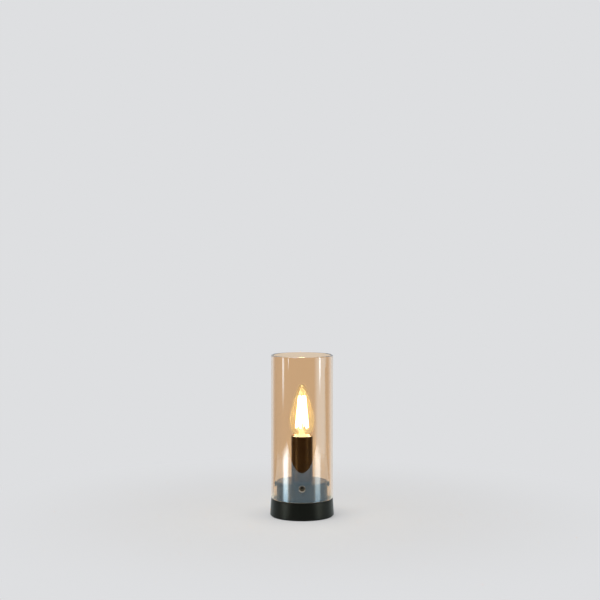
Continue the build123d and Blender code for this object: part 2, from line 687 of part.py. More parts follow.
glass_nut = hex_nut(GLASS_NUT_FLATS, GLASS_NUT_HEIGHT, 2 * glass_screw_hole)
with BuildPart() as glass_screw_nuts:
    with Locations(*[facing_out(nut_back_radius, angle, glass_screw_z)
                     for angle in GLASS_SCREW_ANGLES]):
        add(glass_nut)
finish("glass_screw_nuts", glass_screw_nuts.part)

# Threaded stem, with a nut and washer at each end
bracket_top_z = drum_top_z + BRACKET_THICKNESS
upper_nut_z = bracket_top_z + STEM_WASHER_THICKNESS
lower_nut_z = ceiling_z - STEM_WASHER_THICKNESS - STEM_NUT_HEIGHT
stem_bottom_z = lower_nut_z - STEM_PROUD
stem_top_z = upper_nut_z + STEM_NUT_HEIGHT + STEM_PROUD
with BuildPart() as stem:
    with BuildSketch(level(stem_bottom_z)):
        Circle(stem_radius)
        Circle(STEM_BORE / 2, mode=Mode.SUBTRACT)
    extrude(amount=stem_top_z - stem_bottom_z)
finish("stem", stem.part)

stem_hole = STEM_DIAMETER + 2 * THREAD_GAP
stem_nut = hex_nut(STEM_NUT_FLATS, STEM_NUT_HEIGHT, stem_hole)
stem_washer = washer(STEM_WASHER_DIAMETER, STEM_WASHER_THICKNESS, stem_hole)
for name, shape, z in (
    ("lower_nut", stem_nut, lower_nut_z),
    ("lower_washer", stem_washer, lower_nut_z + STEM_NUT_HEIGHT),
    ("upper_washer", stem_washer, bracket_top_z),
    ("upper_nut", stem_nut, upper_nut_z),
):
    with BuildPart() as stem_fastener:
        with Locations((0, 0, z)):
            add(shape)
    finish(name, stem_fastener.part)

# Candle sleeve round the lampholder
with BuildPart() as candle_sleeve:
    with BuildSketch(level(drum_top_z)):
        Circle(sleeve_radius)
        Circle(sleeve_inner_radius, mode=Mode.SUBTRACT)
    extrude(amount=SLEEVE_LENGTH)
    fillet(candle_sleeve.edges().group_by(Axis.Z)[-1], SLEEVE_EDGE_ROUND)
finish("candle_sleeve", candle_sleeve.part)

# Lampholder bracket: a disc under the nut and two arms riveted to the body
arm_outer_x = sqrt(body_radius**2 - (BRACKET_ARM_WIDTH / 2) ** 2)
arm_inner_x = arm_outer_x - BRACKET_THICKNESS
arm_top_z = terminal_bottom_z + BRACKET_ARM_OVERLAP
rivet_z = arm_top_z - BRACKET_ARM_OVERLAP / 2
arm_middles = [(side * (arm_outer_x - BRACKET_THICKNESS / 2), 0) for side in (-1, 1)]
rivet_planes = [facing_out(arm_outer_x, angle, rivet_z) for angle in RIVET_ANGLES]
with BuildPart() as holder_bracket:
    with BuildSketch(level(drum_top_z)):
        Circle(body_radius)
        Circle(stem_radius + FIT_GAP, mode=Mode.SUBTRACT)
    extrude(amount=BRACKET_THICKNESS)
    with BuildSketch(level(drum_top_z)):
        with Locations(*arm_middles):
            Rectangle(BRACKET_THICKNESS, BRACKET_ARM_WIDTH)
    extrude(amount=arm_top_z - drum_top_z)
    with Locations(*rivet_planes):
        Hole(RIVET_DIAMETER / 2 + THREAD_GAP, depth=2 * BRACKET_THICKNESS)
finish("holder_bracket", holder_bracket.part)

with BuildPart() as rivet:
    Cylinder(RIVET_HEAD / 2, RIVET_HEAD_HEIGHT, align=bottom_up)
    Cylinder(RIVET_DIAMETER / 2, RIVET_LENGTH, align=top_down)
with BuildPart() as bracket_rivets:
    with Locations(*rivet_planes):
        add(rivet.part)
finish("bracket_rivets", bracket_rivets.part)

# Levels and radii inside the lampholder
guide_bottom_z = terminal_top_z - GUIDE_LENGTH
plunger_travel = THREAD_PITCH * BULB_TURN / FULL_TURN
cap_thread_z = bulb_foot_z + CAP_CONTACT_HEIGHT + INSULATOR_HEIGHT
cap_ridge_z = cap_thread_z + THREAD_PITCH / 2
shell_ridge_z = cap_ridge_z + THREAD_PITCH / 2
flare_z = cap_rim_z - CAP_FLARE_HEIGHT
cone_z = flare_z - CAP_CONE_HEIGHT
ledge_z = cone_z - FIT_GAP
core_radius = THREAD_CORE / 2
cap_ridge_radius = core_radius + THREAD_RIDGE_RISE - THREAD_RIDGE
thread_shell_bore = core_radius + THREAD_RIDGE_RISE + THREAD_RADIAL_GAP
thread_shell_radius = thread_shell_bore + SHELL_THICKNESS
shell_ridge_radius = thread_shell_bore + SHELL_RIDGE - SHELL_RIDGE_RISE
mouth_radius = CAP_FLARE_DIAMETER / 2 + MOUTH_GAP
guide_radius = PLUNGER_STEM / 2 + GUIDE_GAP

terminal_spots = [(0, side * HOLDER_TERMINAL_OFFSET) for side in (1, -1)]
terminal_face_y = HOLDER_TERMINAL_OFFSET + HOLDER_TERMINAL_DEPTH / 2
terminal_screw_z = terminal_bottom_z + HOLDER_TERMINAL_HEIGHT / 2
terminal_screw_planes = [facing_out(terminal_face_y, angle, terminal_screw_z)
                         for angle in HOLDER_TERMINAL_ANGLES]
neutral_strap_y = -thread_shell_radius - STRAP_THICKNESS
neutral_strap_top_z = cap_ridge_z + STRAP_LAP

# Lampholder body: bulb cavity, then plunger and terminal pockets, then a hollow skirt
with BuildPart() as holder_body:
    with BuildSketch(level(body_bottom_z)):
        Circle(body_radius)
    extrude(amount=BODY_LENGTH)
    for z, top_z, radius in (
        (floor_z, body_top_z, thread_shell_radius + GLUE_GAP),
        (ledge_z, body_top_z, mouth_radius),
        (pocket_z, floor_z, PLUNGER_HEAD / 2 + FIT_GAP),
        (terminal_bottom_z, pocket_z, guide_radius),
        (terminal_bottom_z, guide_bottom_z, CLIP_DIAMETER / 2 + FIT_GAP),
        (body_bottom_z, terminal_bottom_z, body_radius - BODY_SKIRT_WALL),
    ):
        with BuildSketch(level(z)):
            Circle(radius)
        extrude(amount=top_z - z, mode=Mode.SUBTRACT)
    with BuildSketch(level(terminal_bottom_z)):
        with Locations(*terminal_spots):
            Rectangle(HOLDER_TERMINAL_WIDTH + FIT_GAP, HOLDER_TERMINAL_DEPTH + FIT_GAP)
    extrude(amount=HOLDER_TERMINAL_HEIGHT, mode=Mode.SUBTRACT)
    with BuildSketch(level(body_bottom_z)):
        with Locations((arm_inner_x, 0), (-arm_inner_x - body_radius, 0)):
            Rectangle(body_radius, 2 * body_radius, align=(Align.MIN, Align.CENTER))
    extrude(amount=arm_top_z + FIT_GAP - body_bottom_z, mode=Mode.SUBTRACT)
    with BuildSketch(level(terminal_top_z)):
        with Locations((0, -PLUNGER_HEAD / 2)):
            Rectangle(STRAP_WIDTH + FIT_GAP, PLUNGER_HEAD / 2 + terminal_face_y + FIT_GAP,
                      align=(Align.CENTER, Align.MIN))
    extrude(amount=STRAP_THICKNESS, mode=Mode.SUBTRACT)
    with BuildSketch(level(terminal_top_z)):
        with Locations((0, neutral_strap_y - GLUE_GAP)):
            Rectangle(STRAP_WIDTH + FIT_GAP, 2 * STRAP_THICKNESS, align=(Align.CENTER, Align.MIN))
    extrude(amount=neutral_strap_top_z + FIT_GAP - terminal_top_z, mode=Mode.SUBTRACT)
    with Locations(*terminal_screw_planes):
        Cylinder(HOLDER_SCREW_HEAD / 2 + FIT_GAP, body_radius, align=bottom_up, mode=Mode.SUBTRACT)
    with Locations(*rivet_planes):
        Cylinder(RIVET_DIAMETER / 2 + THREAD_GAP, RIVET_LENGTH + FIT_GAP, align=top_down,
                 mode=Mode.SUBTRACT)
finish("holder_body", holder_body.part)

# Screw shell of the lampholder, hung by its flange on the body's ledge
with BuildPart() as thread_shell:
    add(revolve_outline([
        (thread_shell_bore, cap_ridge_z),
        (thread_shell_radius, cap_ridge_z),
        (thread_shell_radius, ledge_z),
        (mouth_radius - GLUE_GAP, ledge_z),
        (mouth_radius - GLUE_GAP, ledge_z + SHELL_THICKNESS),
        (thread_shell_bore, ledge_z + SHELL_THICKNESS),
    ]))
    add(helical_ridge(shell_ridge_radius, SHELL_RIDGE, shell_ridge_z, SHELL_TURNS))
    with BuildSketch(level(cap_ridge_z)):
        Circle(2 * thread_shell_radius)
        Circle(thread_shell_radius, mode=Mode.SUBTRACT)
    extrude(amount=ledge_z - cap_ridge_z, mode=Mode.SUBTRACT)
finish("thread_shell", thread_shell.part)

# Lampholder terminals, their screws and the straps to the two contacts
with BuildPart() as holder_terminals:
    with BuildSketch(level(terminal_bottom_z)):
        with Locations(*terminal_spots):
            Rectangle(HOLDER_TERMINAL_WIDTH, HOLDER_TERMINAL_DEPTH)
    extrude(amount=HOLDER_TERMINAL_HEIGHT)
    with Locations(*[facing_down(x, y, terminal_bottom_z) for x, y in terminal_spots]):
        Hole(wire_radius + GLUE_GAP, depth=WIRE_HOLE_DEPTH + FIT_GAP)
    with Locations(*terminal_screw_planes):
        Hole(HOLDER_SCREW_DIAMETER / 2 + THREAD_GAP, depth=HOLDER_TERMINAL_DEPTH / 2)
finish("holder_terminals", holder_terminals.part)

holder_screw = slotted_screw(
    HOLDER_SCREW_DIAMETER, HOLDER_SCREW_HEAD, HOLDER_SCREW_HEAD_HEIGHT,
    HOLDER_TERMINAL_DEPTH / 2 - wire_radius - THREAD_GAP, SMALL_SLOT)
with BuildPart() as holder_terminal_screws:
    with Locations(*terminal_screw_planes):
        add(holder_screw)
finish("holder_terminal_screws", holder_terminal_screws.part)

with BuildPart() as live_strap:
    with BuildSketch(level(terminal_top_z)):
        with Locations((0, -PLUNGER_HEAD / 2)):
            Rectangle(STRAP_WIDTH, PLUNGER_HEAD / 2 + terminal_face_y,
                      align=(Align.CENTER, Align.MIN))
        Circle(guide_radius, mode=Mode.SUBTRACT)
    extrude(amount=STRAP_THICKNESS)
finish("live_strap", live_strap.part)

with BuildPart() as neutral_strap:
    with BuildSketch(level(terminal_top_z)):
        with Locations((0, neutral_strap_y)):
            Rectangle(STRAP_WIDTH, STRAP_THICKNESS, align=(Align.CENTER, Align.MIN))
    extrude(amount=neutral_strap_top_z - terminal_top_z)
finish("neutral_strap", neutral_strap.part)

# Sprung centre contact: plunger, retaining clip and spring
plunger_head_z = bulb_foot_z - PLUNGER_HEAD_HEIGHT
clip_top_z = guide_bottom_z - plunger_travel - CLIP_GAP
clip_z = clip_top_z - CLIP_THICKNESS
groove_radius = PLUNGER_STEM / 2 - CLIP_GROOVE
with BuildPart() as contact_plunger:
    add(revolve_outline([
        (0, bulb_foot_z),
        (PLUNGER_HEAD / 2, bulb_foot_z),
        (PLUNGER_HEAD / 2, plunger_head_z),
        (PLUNGER_STEM / 2, plunger_head_z),
        (PLUNGER_STEM / 2, clip_top_z),
        (groove_radius, clip_top_z),
        (groove_radius, clip_z),
        (PLUNGER_STEM / 2, clip_z),
        (PLUNGER_STEM / 2, clip_z - CLIP_THICKNESS),
        (0, clip_z - CLIP_THICKNESS),
    ]))
finish("contact_plunger", contact_plunger.part)

with BuildPart() as plunger_clip:
    with Locations((0, 0, clip_z)):
        add(washer(CLIP_DIAMETER, CLIP_THICKNESS, 2 * groove_radius))
finish("plunger_clip", plunger_clip.part)

spring_radius = (PLUNGER_STEM + PLUNGER_HEAD) / 4
spring_rise = plunger_head_z - pocket_z - SPRING_WIRE
with BuildPart() as contact_spring:
    with BuildLine() as coil:
        Helix(spring_rise / SPRING_TURNS, spring_rise, spring_radius,
              center=(0, 0, pocket_z + SPRING_WIRE / 2))
    with BuildSketch(coil.line ^ 0):
        Circle(SPRING_WIRE / 2)
    sweep(is_frenet=True)
finish("contact_spring", contact_spring.part)

# Bulb cap: thin screw shell with a flare for the glass
cap_bore = core_radius - CAP_WALL
flare_radius = CAP_FLARE_DIAMETER / 2
with BuildPart() as bulb_cap:
    add(helical_ridge(cap_ridge_radius, THREAD_RIDGE, cap_ridge_z, THREAD_TURNS))
    add(revolve_outline([
        (0, cap_thread_z),
        (core_radius, cap_thread_z),
        (core_radius, cone_z),
        (flare_radius, flare_z),
        (flare_radius, cap_rim_z),
        (0, cap_rim_z),
    ]))
    add(
        revolve_outline([
            (0, cap_thread_z),
            (cap_bore, cap_thread_z),
            (cap_bore, cone_z),
            (flare_radius - CAP_WALL, flare_z),
            (flare_radius - CAP_WALL, cap_rim_z),
            (0, cap_rim_z),
        ]),
        mode=Mode.SUBTRACT,
    )
finish("bulb_cap", bulb_cap.part)

# Glass insulator at the cap's end, and the contact riveted through it
insulator_z = bulb_foot_z + CAP_CONTACT_HEIGHT
insulator_top_z = cap_thread_z + INSULATOR_PLUG
with BuildPart() as cap_insulator:
    add(revolve_outline([
        (CAP_CONTACT_STEM / 2, insulator_z),
        (INSULATOR_TIP_DIAMETER / 2, insulator_z),
        (core_radius, cap_thread_z),
        (cap_bore - GLUE_GAP, cap_thread_z),
        (cap_bore - GLUE_GAP, insulator_top_z),
        (CAP_CONTACT_STEM / 2, insulator_top_z),
    ]))
finish("cap_insulator", cap_insulator.part)

with BuildPart() as cap_contact:
    add(revolve_outline([
        (0, bulb_foot_z),
        (CAP_CONTACT_DIAMETER / 2, bulb_foot_z),
        (CAP_CONTACT_DIAMETER / 2, insulator_z),
        (CAP_CONTACT_STEM / 2 - GLUE_GAP, insulator_z),
        (CAP_CONTACT_STEM / 2 - GLUE_GAP, insulator_top_z),
        (0, insulator_top_z),
    ]))
finish("cap_contact", cap_contact.part)

# Driver board inside the cap, with a capacitor on one face and a chip on the other
with BuildPart() as bulb_driver:
    with BuildSketch(level(insulator_top_z)):
        Rectangle(DRIVER_WIDTH, DRIVER_BOARD)
    extrude(amount=DRIVER_HEIGHT)
    with Locations((0, 0, insulator_top_z + (DRIVER_HEIGHT - DRIVER_CAN_HEIGHT) / 2)):
        with Locations((0, (DRIVER_BOARD + DRIVER_CAN_DIAMETER) / 2 - GLUE_GAP)):
            Cylinder(DRIVER_CAN_DIAMETER / 2, DRIVER_CAN_HEIGHT, align=bottom_up)
        with Locations((0, -DRIVER_BOARD)):
            Box(DRIVER_CHIP_SIZE, DRIVER_BOARD, DRIVER_CHIP_SIZE, align=bottom_up)
finish("bulb_driver", bulb_driver.part)

# Bulb glass: a hollow candle form, closed at the tip and open at the neck
neck_radius = flare_radius - CAP_WALL - GLUE_GAP


def bulb_outline(inset):
    """Points of the bulb's outline from neck to tip, drawn in from the outside by inset."""
    height = bulb_tip_z - cap_rim_z - inset
    widest = BULB_DIAMETER / 2 - inset
    middle = [(widest * across, cap_rim_z + height * up) for up, across in BULB_OUTLINE_SHARES]
    return [(neck_radius - inset, cap_rim_z), *middle, (0, cap_rim_z + height)]


with BuildPart() as bulb_envelope:
    with BuildSketch(Plane.XZ):
        with BuildLine():
            outer, inner = [
                Spline(*bulb_outline(inset), tangents=((0, 1), (-1, 0)),
                       tangent_scalars=(BULB_END_PULL, BULB_END_PULL))
                for inset in (0, BULB_WALL)
            ]
            Line(outer @ 1, inner @ 1)
            Polyline(outer @ 0, (neck_radius, flare_z), (neck_radius - BULB_WALL, flare_z), inner @ 0)
        make_face()
    revolve(axis=Axis.Z)
finish("bulb_envelope", bulb_envelope.part)

# Glass mount sealed into the neck, with a rod that carries the filaments
mount_radius = neck_radius - BULB_WALL - GLUE_GAP
rod_radius = MOUNT_ROD_DIAMETER / 2
with BuildPart() as bulb_mount:
    add(revolve_outline([
        (0, flare_z),
        (mount_radius, flare_z),
        (mount_radius, cap_rim_z),
        (MOUNT_WAIST_DIAMETER / 2, cap_rim_z + MOUNT_SKIRT_HEIGHT),
        (rod_radius, cap_rim_z + MOUNT_PINCH_HEIGHT),
        (rod_radius, cap_rim_z + MOUNT_HEIGHT),
        (0, cap_rim_z + MOUNT_HEIGHT),
    ]))
finish("bulb_mount", bulb_mount.part)

# Filament sticks, leaning together towards the top
filament_foot_z = cap_rim_z + FILAMENT_LIFT
filament_lean = FILAMENT_FOOT_RADIUS - FILAMENT_HEAD_RADIUS
filament_head_z = filament_foot_z + sqrt(FILAMENT_LENGTH**2 - filament_lean**2)
filament_angles = [FULL_TURN * (n + FILAMENT_START_SHARE) / FILAMENT_COUNT for n in range(FILAMENT_COUNT)]
filament_planes = []
for angle in filament_angles:
    foot = Vector(*polar(FILAMENT_FOOT_RADIUS, angle), filament_foot_z)
    head = Vector(*polar(FILAMENT_HEAD_RADIUS, angle), filament_head_z)
    filament_planes.append(Plane(origin=foot, z_dir=head - foot))
with BuildPart() as bulb_filaments:
    with Locations(*filament_planes):
        Cylinder(FILAMENT_DIAMETER / 2, FILAMENT_LENGTH, align=bottom_up)
finish("bulb_filaments", bulb_filaments.part)

# Leads: one at the foot of each filament, and a mast with arms to their heads
filament_reach = FILAMENT_DIAMETER / 2 + GLUE_GAP
lead_radius = LEAD_DIAMETER / 2
foot_lead_z = filament_foot_z + FILAMENT_DIAMETER
head_lead_z = filament_head_z - FILAMENT_DIAMETER
lean_rate = filament_lean / (filament_head_z - filament_foot_z)
foot_lead_end = FILAMENT_FOOT_RADIUS - FILAMENT_DIAMETER * lean_rate - filament_reach
head_lead_end = FILAMENT_HEAD_RADIUS + FILAMENT_DIAMETER * lean_rate - filament_reach
mast_z = cap_rim_z + MOUNT_HEIGHT
with BuildPart() as filament_leads:
    with Locations(*[facing_out(rod_radius, angle, foot_lead_z) for angle in filament_angles]):
        Cylinder(lead_radius, foot_lead_end - rod_radius, align=bottom_up)
    with Locations((0, 0, mast_z)):
        Cylinder(lead_radius, head_lead_z + lead_radius - mast_z, align=bottom_up)
    with Locations(*[facing_out(lead_radius / 2, angle, head_lead_z) for angle in filament_angles]):
        Cylinder(lead_radius, head_lead_end - lead_radius / 2, align=bottom_up)
finish("filament_leads", filament_leads.part)

# Wires: live and neutral climb the stem to the lampholder, earth goes to its lug
wire_x = WIRE_SPACING / 2
wire_low_z = plate_top_z + WIRE_FLOOR_GAP + wire_radius
wire_high_z = stem_top_z + WIRE_LIFT
wire_end_z = terminal_bottom_z + WIRE_HOLE_DEPTH
for name, pole_x, side, (end_x, end_y) in (
    ("live_wire", pole_xs[0], -1, terminal_spots[0]),
    ("neutral_wire", pole_xs[1], 1, terminal_spots[1]),
):
    wire = wire_along([
        (pole_x, block_start_y + WIRE_TAIL, pole_z),
        (pole_x, block_start_y - WIRE_TAIL, pole_z),
        (side * wire_x, WIRE_TURN, wire_low_z),
        (side * wire_x, 0, wire_low_z),
        (side * wire_x, 0, wire_high_z),
        (end_x, end_y, terminal_bottom_z - WIRE_ENTRY),
        (end_x, end_y, wire_end_z),
    ])
    finish(name, wire)

earth_wire = wire_along([
    (pole_xs[2], block_start_y + WIRE_TAIL, pole_z),
    (pole_xs[2], block_start_y - WIRE_TAIL, pole_z),
    (pole_xs[2] + WIRE_TAIL, block_start_y - WIRE_TAIL - WIRE_LIFT, lug_barrel_z),
    (earth_x, lug_barrel_y + LUG_BARREL_LENGTH + WIRE_TAIL, lug_barrel_z),
    (earth_x, lug_barrel_y + LUG_BARREL_WALL, lug_barrel_z),
])
finish("earth_wire", earth_wire)
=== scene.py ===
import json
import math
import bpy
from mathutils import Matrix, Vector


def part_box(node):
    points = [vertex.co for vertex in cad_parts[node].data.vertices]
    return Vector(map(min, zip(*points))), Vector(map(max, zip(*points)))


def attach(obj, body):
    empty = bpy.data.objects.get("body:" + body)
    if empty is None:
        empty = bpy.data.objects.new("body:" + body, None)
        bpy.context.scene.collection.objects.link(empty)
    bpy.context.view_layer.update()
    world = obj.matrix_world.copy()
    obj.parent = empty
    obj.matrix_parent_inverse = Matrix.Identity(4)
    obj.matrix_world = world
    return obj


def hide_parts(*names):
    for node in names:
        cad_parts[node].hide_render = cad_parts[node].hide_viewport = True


bl_info = {
    "name": "Glass cylinder table lamp",
    "version": (1, 0, 0),
    "blender": (4, 5, 0),
    "location": "3D View > Sidebar > Lamp",
    "description": "Dresses the packed table lamp with glass, bulb, powder coat and a studio",
    "category": "Object",
}

import bpy
from mathutils import Vector

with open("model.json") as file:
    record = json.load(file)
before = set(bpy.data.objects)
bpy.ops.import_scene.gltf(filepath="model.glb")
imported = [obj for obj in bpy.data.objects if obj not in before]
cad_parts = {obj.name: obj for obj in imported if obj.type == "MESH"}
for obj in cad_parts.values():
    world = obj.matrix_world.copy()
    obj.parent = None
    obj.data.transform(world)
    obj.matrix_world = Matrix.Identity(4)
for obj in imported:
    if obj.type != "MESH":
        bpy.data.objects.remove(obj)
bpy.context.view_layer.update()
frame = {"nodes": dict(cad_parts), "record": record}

MM = 0.001
WHITE = (1.0, 1.0, 1.0)


def linear(text):
    """Turns an sRGB hex value into linear red, green and blue."""
    shares = [int(text[n:n + 2], 16) / 255 for n in (1, 3, 5)]
    return tuple(s / 12.92 if s <= 0.04045 else ((s + 0.055) / 1.055) ** 2.4 for s in shares)


def length(label, about, default):
    """A size in metres that the sidebar shows as a length."""
    return bpy.props.FloatProperty(name=label, description=about, default=default, min=0.0,
                                   precision=5, unit="LENGTH")


def colour(label, about, text):
    """A colour that the sidebar shows as a swatch."""
    return bpy.props.FloatVectorProperty(name=label, description=about, default=linear(text),
                                         size=3, min=0.0, max=1.0, subtype="COLOR")


class LampSizes(bpy.types.PropertyGroup):
    """Wall thicknesses and edges of the pieces modelled here."""

    sides: bpy.props.IntProperty(
        name="Sides", description="Sides of every turned piece", default=192, min=24, max=512)
    glass_wall: length("Glass wall", "Thickness of the glass cylinder", 3.0 * MM)
    glass_rim: length("Glass rim", "Rounding of the polished rims", 1.2 * MM)
    glass_hole: length("Glass hole", "Radius of the hole in front of one screw", 4.0 * MM)
    hole_bevel: length("Hole bevel", "Ground bevel round the mouth of the hole", 0.5 * MM)
    base_wall: length("Base wall", "Thickness of the cast base", 2.5 * MM)
    base_top: length("Base top", "Thickness of the base's top", 2.0 * MM)
    base_flare: length("Base flare", "How much wider the foot is than the top", 1.4 * MM)
    base_foot: length("Base foot", "Chamfer at the foot", 0.5 * MM)
    base_edge: length("Base edge", "Rounding of the base's top edge", 0.8 * MM)
    cord_hole: length("Cord hole", "Radius of the hole for the cord's bush", 4.55 * MM)
    drum_wall: length("Drum wall", "Thickness of the drum's side", 1.2 * MM)
    drum_top: length("Drum top", "Thickness of the drum's top", 1.5 * MM)
    drum_edge: length("Drum edge", "Rounding of the drum's top edge", 0.7 * MM)
    stem_hole: length("Stem hole", "Radius of the holes for the stem", 5.2 * MM)
    screw_head: length("Screw head", "Height of the glass screws' heads", 2.6 * MM)
    screw_shank: length("Screw shank", "Radius of the glass screws' threads", 1.5 * MM)
    screw_slot: length("Screw recess", "Width of the cross recess in the heads", 1.8 * MM)
    screw_nut: length("Screw nut", "Height of the nuts behind the drum's wall", 2.4 * MM)
    sleeve_wall: length("Sleeve wall", "Thickness of the candle sleeve", 1.5 * MM)
    sleeve_edge: length("Sleeve edge", "Rounding of the sleeve's mouth", 0.4 * MM)
    bulb_wall: length("Bulb wall", "Thickness of the bulb's glass", 0.8 * MM)
    bulb_neck: length("Bulb neck", "Radius of the glass in the cap", 8.05 * MM)
    cap_rim: length("Cap rim", "Height of the cap's rim above the floor", 107.0 * MM)


class LampColours(bpy.types.PropertyGroup):
    """Colours of the finishes that show."""

    amber: colour("Amber", "Tint of one wall of the glass", "#FBE5CA")
    powder: colour("Powder coat", "Black of the base and drum", "#070705")
    # The enamel's brown is partly painted light: the amber tint of the light inside the glass.
    enamel: colour("Enamel", "Warm black of the candle sleeve", "#372207")
    porcelain: colour("Lampholder", "White of the lampholder", "#EFEBDD")
    glow: colour("Glow", "Light of the filaments", "#FFF5E0")
    backdrop: colour("Backdrop", "Pale colour of the floor and surroundings", "#DEDFE1")


def add_node(tree, kind, inputs=None, **settings):
    """Adds a node with its settings, and sets or links its inputs."""
    made = tree.nodes.new(kind)
    for name, value in settings.items():
        setattr(made, name, value)
    for socket, value in (inputs or {}).items():
        if isinstance(value, bpy.types.NodeSocket):
            tree.links.new(value, made.inputs[socket])
        else:
            made.inputs[socket].default_value = value
    return made


def per(size_mm):
    """Texture scale on Object coordinates whose features are about that many millimetres."""
    return 1 / (size_mm * MM)


def new_finish(name):
    """An empty material with its node tree and Object coordinates."""
    material = bpy.data.materials.new(name)
    material.use_nodes = True
    material.node_tree.nodes.clear()
    place = add_node(material.node_tree, "ShaderNodeTexCoord").outputs["Object"]
    return material, material.node_tree, place


def grained(name, light, dark, grain_mm, roughness, relief_mm, cloud_mm=None, detail=(4.0, 3.0),
            strength=0.6, **sockets):
    """A finish with a grain: two close colours in clouds, uneven gloss and a fine relief.

    The clouds are nine grains wide unless their size is given. The details are first the
    clouds' and then the grain's.
    """
    material, tree, place = new_finish(name)
    cloud = add_node(tree, "ShaderNodeTexNoise", {
        "Vector": place, "Scale": per(cloud_mm or 9 * grain_mm), "Detail": detail[0]})
    grain = add_node(tree, "ShaderNodeTexNoise", {
        "Vector": place, "Scale": per(grain_mm), "Detail": detail[1]})
    tone = add_node(tree, "ShaderNodeMixRGB", {
        "Fac": cloud.outputs["Fac"], "Color1": (*dark, 1), "Color2": (*light, 1)})
    gloss = add_node(tree, "ShaderNodeMapRange", {
        "Value": grain.outputs["Fac"], "From Min": 0.3, "From Max": 0.7,
        "To Min": roughness[0], "To Max": roughness[1]})
    relief = add_node(tree, "ShaderNodeBump", {
        "Height": grain.outputs["Fac"], "Strength": strength, "Distance": relief_mm * MM})
    shader = add_node(tree, "ShaderNodeBsdfPrincipled", {
        "Base Color": tone.outputs["Color"], "Roughness": gloss.outputs["Result"],
        "Normal": relief.outputs["Normal"], **sockets})
    add_node(tree, "ShaderNodeOutputMaterial", {"Surface": shader.outputs["BSDF"]})
    return material


FILM_NM = 37.0  # thickness of the film on the glass
BARE_SHEEN = (0.3, 0.3, 0.3, 1)  # how much less the glass mirrors where it has no film


def amber_glass(colours, name="Amber coated drawn glass", **sockets):
    # Drawn soda glass with a hard metal oxide film outside: clear and amber to look through, with
    # a cool mirror-like sheen on its outer face and the faint long waves of a drawn tube.
    material, tree, place = new_finish(name)
    inside = add_node(tree, "ShaderNodeNewGeometry").outputs["Backfacing"]
    film = add_node(tree, "ShaderNodeMapRange", {
        "Value": inside, "To Min": FILM_NM, "To Max": 0.0})
    sheen = add_node(tree, "ShaderNodeMixRGB", {
        "Fac": inside, "Color1": (*WHITE, 1), "Color2": BARE_SHEEN})
    stretched = add_node(tree, "ShaderNodeMapping", {"Vector": place, "Scale": (1, 1, 0.15)})
    wave = add_node(tree, "ShaderNodeTexNoise", {
        "Vector": stretched.outputs["Vector"], "Scale": per(16), "Detail": 1.0})
    deep = tuple(c ** 1.06 for c in colours.amber)
    tone = add_node(tree, "ShaderNodeMixRGB", {
        "Fac": wave.outputs["Fac"], "Color1": (*colours.amber, 1), "Color2": (*deep, 1)})
    relief = add_node(tree, "ShaderNodeBump", {
        "Height": wave.outputs["Fac"], "Strength": 0.25, "Distance": 0.05 * MM})
    shader = add_node(tree, "ShaderNodeBsdfPrincipled", {
        "Base Color": tone.outputs["Color"], "Normal": relief.outputs["Normal"],
        "Roughness": 0.0, "IOR": 1.5, "Transmission Weight": 1.0,
        "Thin Film Thickness": film.outputs["Result"], "Thin Film IOR": 2.05,
        "Specular Tint": sheen.outputs["Color"], **sockets})
    add_node(tree, "ShaderNodeOutputMaterial", {"Surface": shader.outputs["BSDF"]})
    return material


def bare_amber_glass(colours):
    # The inner wall of the same glass, which has no film and so mirrors much less.
    return amber_glass(colours, "Amber drawn glass, inner wall", **{
        "Thin Film Thickness": 0.0, "Specular Tint": BARE_SHEEN})


def ground_amber_glass(colours):
    # The sawn foot and the drilled hole of the same glass, ground to a fine frost that
    # gathers light into a pale line.
    return amber_glass(colours, "Amber drawn glass, ground edge", **{
        "Thin Film Thickness": 0.0, "Roughness": 0.5, "Transmission Weight": 0.55})


def clear_glass(colours):
    # Thin blown lamp glass: clear, uneven enough to bend reflections a little, with a faint
    # warm painted glow, a small emission that stands in for the filaments' light scattered in its
    # skin.
    material, tree, place = new_finish("Clear blown glass")
    wave = add_node(tree, "ShaderNodeTexNoise",
                    {"Vector": place, "Scale": per(7), "Detail": 1.0})
    tone = add_node(tree, "ShaderNodeMixRGB", {
        "Fac": wave.outputs["Fac"], "Color1": (*linear("#FFFDF2"), 1),
        "Color2": (*linear("#FBF8EA"), 1)})
    relief = add_node(tree, "ShaderNodeBump", {
        "Height": wave.outputs["Fac"], "Strength": 0.2, "Distance": 0.05 * MM})
    shader = add_node(tree, "ShaderNodeBsdfPrincipled", {
        "Base Color": tone.outputs["Color"], "Normal": relief.outputs["Normal"],
        "Roughness": 0.0, "IOR": 1.5, "Transmission Weight": 0.98,
        "Sheen Weight": 1.0, "Sheen Roughness": 0.15, "Sheen Tint": (*linear("#FFF0B4"), 1),
        "Emission Color": (*linear("#FFF08A"), 1), "Emission Strength": 0.02})
    add_node(tree, "ShaderNodeOutputMaterial", {"Surface": shader.outputs["BSDF"]})
    return material


def mount_glass():
    # The pressed glass that carries the filaments, hazed white where it was pinched in the flame,
    # so that it glows with their light.
    return grained("Hazy pressed glass", linear("#FFF9E8"), linear("#F4EBD2"), 1.6,
                   (0.3, 0.5), 0.02, **{"Transmission Weight": 0.2})


def baked_coat(name, black, roughness, **sockets):
    """A baked black coat with an orange-peel skin, drawn at 1.2 mm so that it shows."""
    light = tuple(c * 1.25 for c in black)
    return grained(name, light, black, 1.2, roughness, 0.06, cloud_mm=22, detail=(3.0, 2.0),
                   strength=0.35, IOR=1.5, **sockets)


def powder_coat(colours):
    # Black polyester powder coat on metal: a deep matt black that spreads highlights into soft
    # upright bands.
    return baked_coat("Black powder coat", colours.powder, (0.28, 0.38), **{
        "Specular IOR Level": 0.29, "Specular Tint": (*linear("#FFFCEC"), 1)})


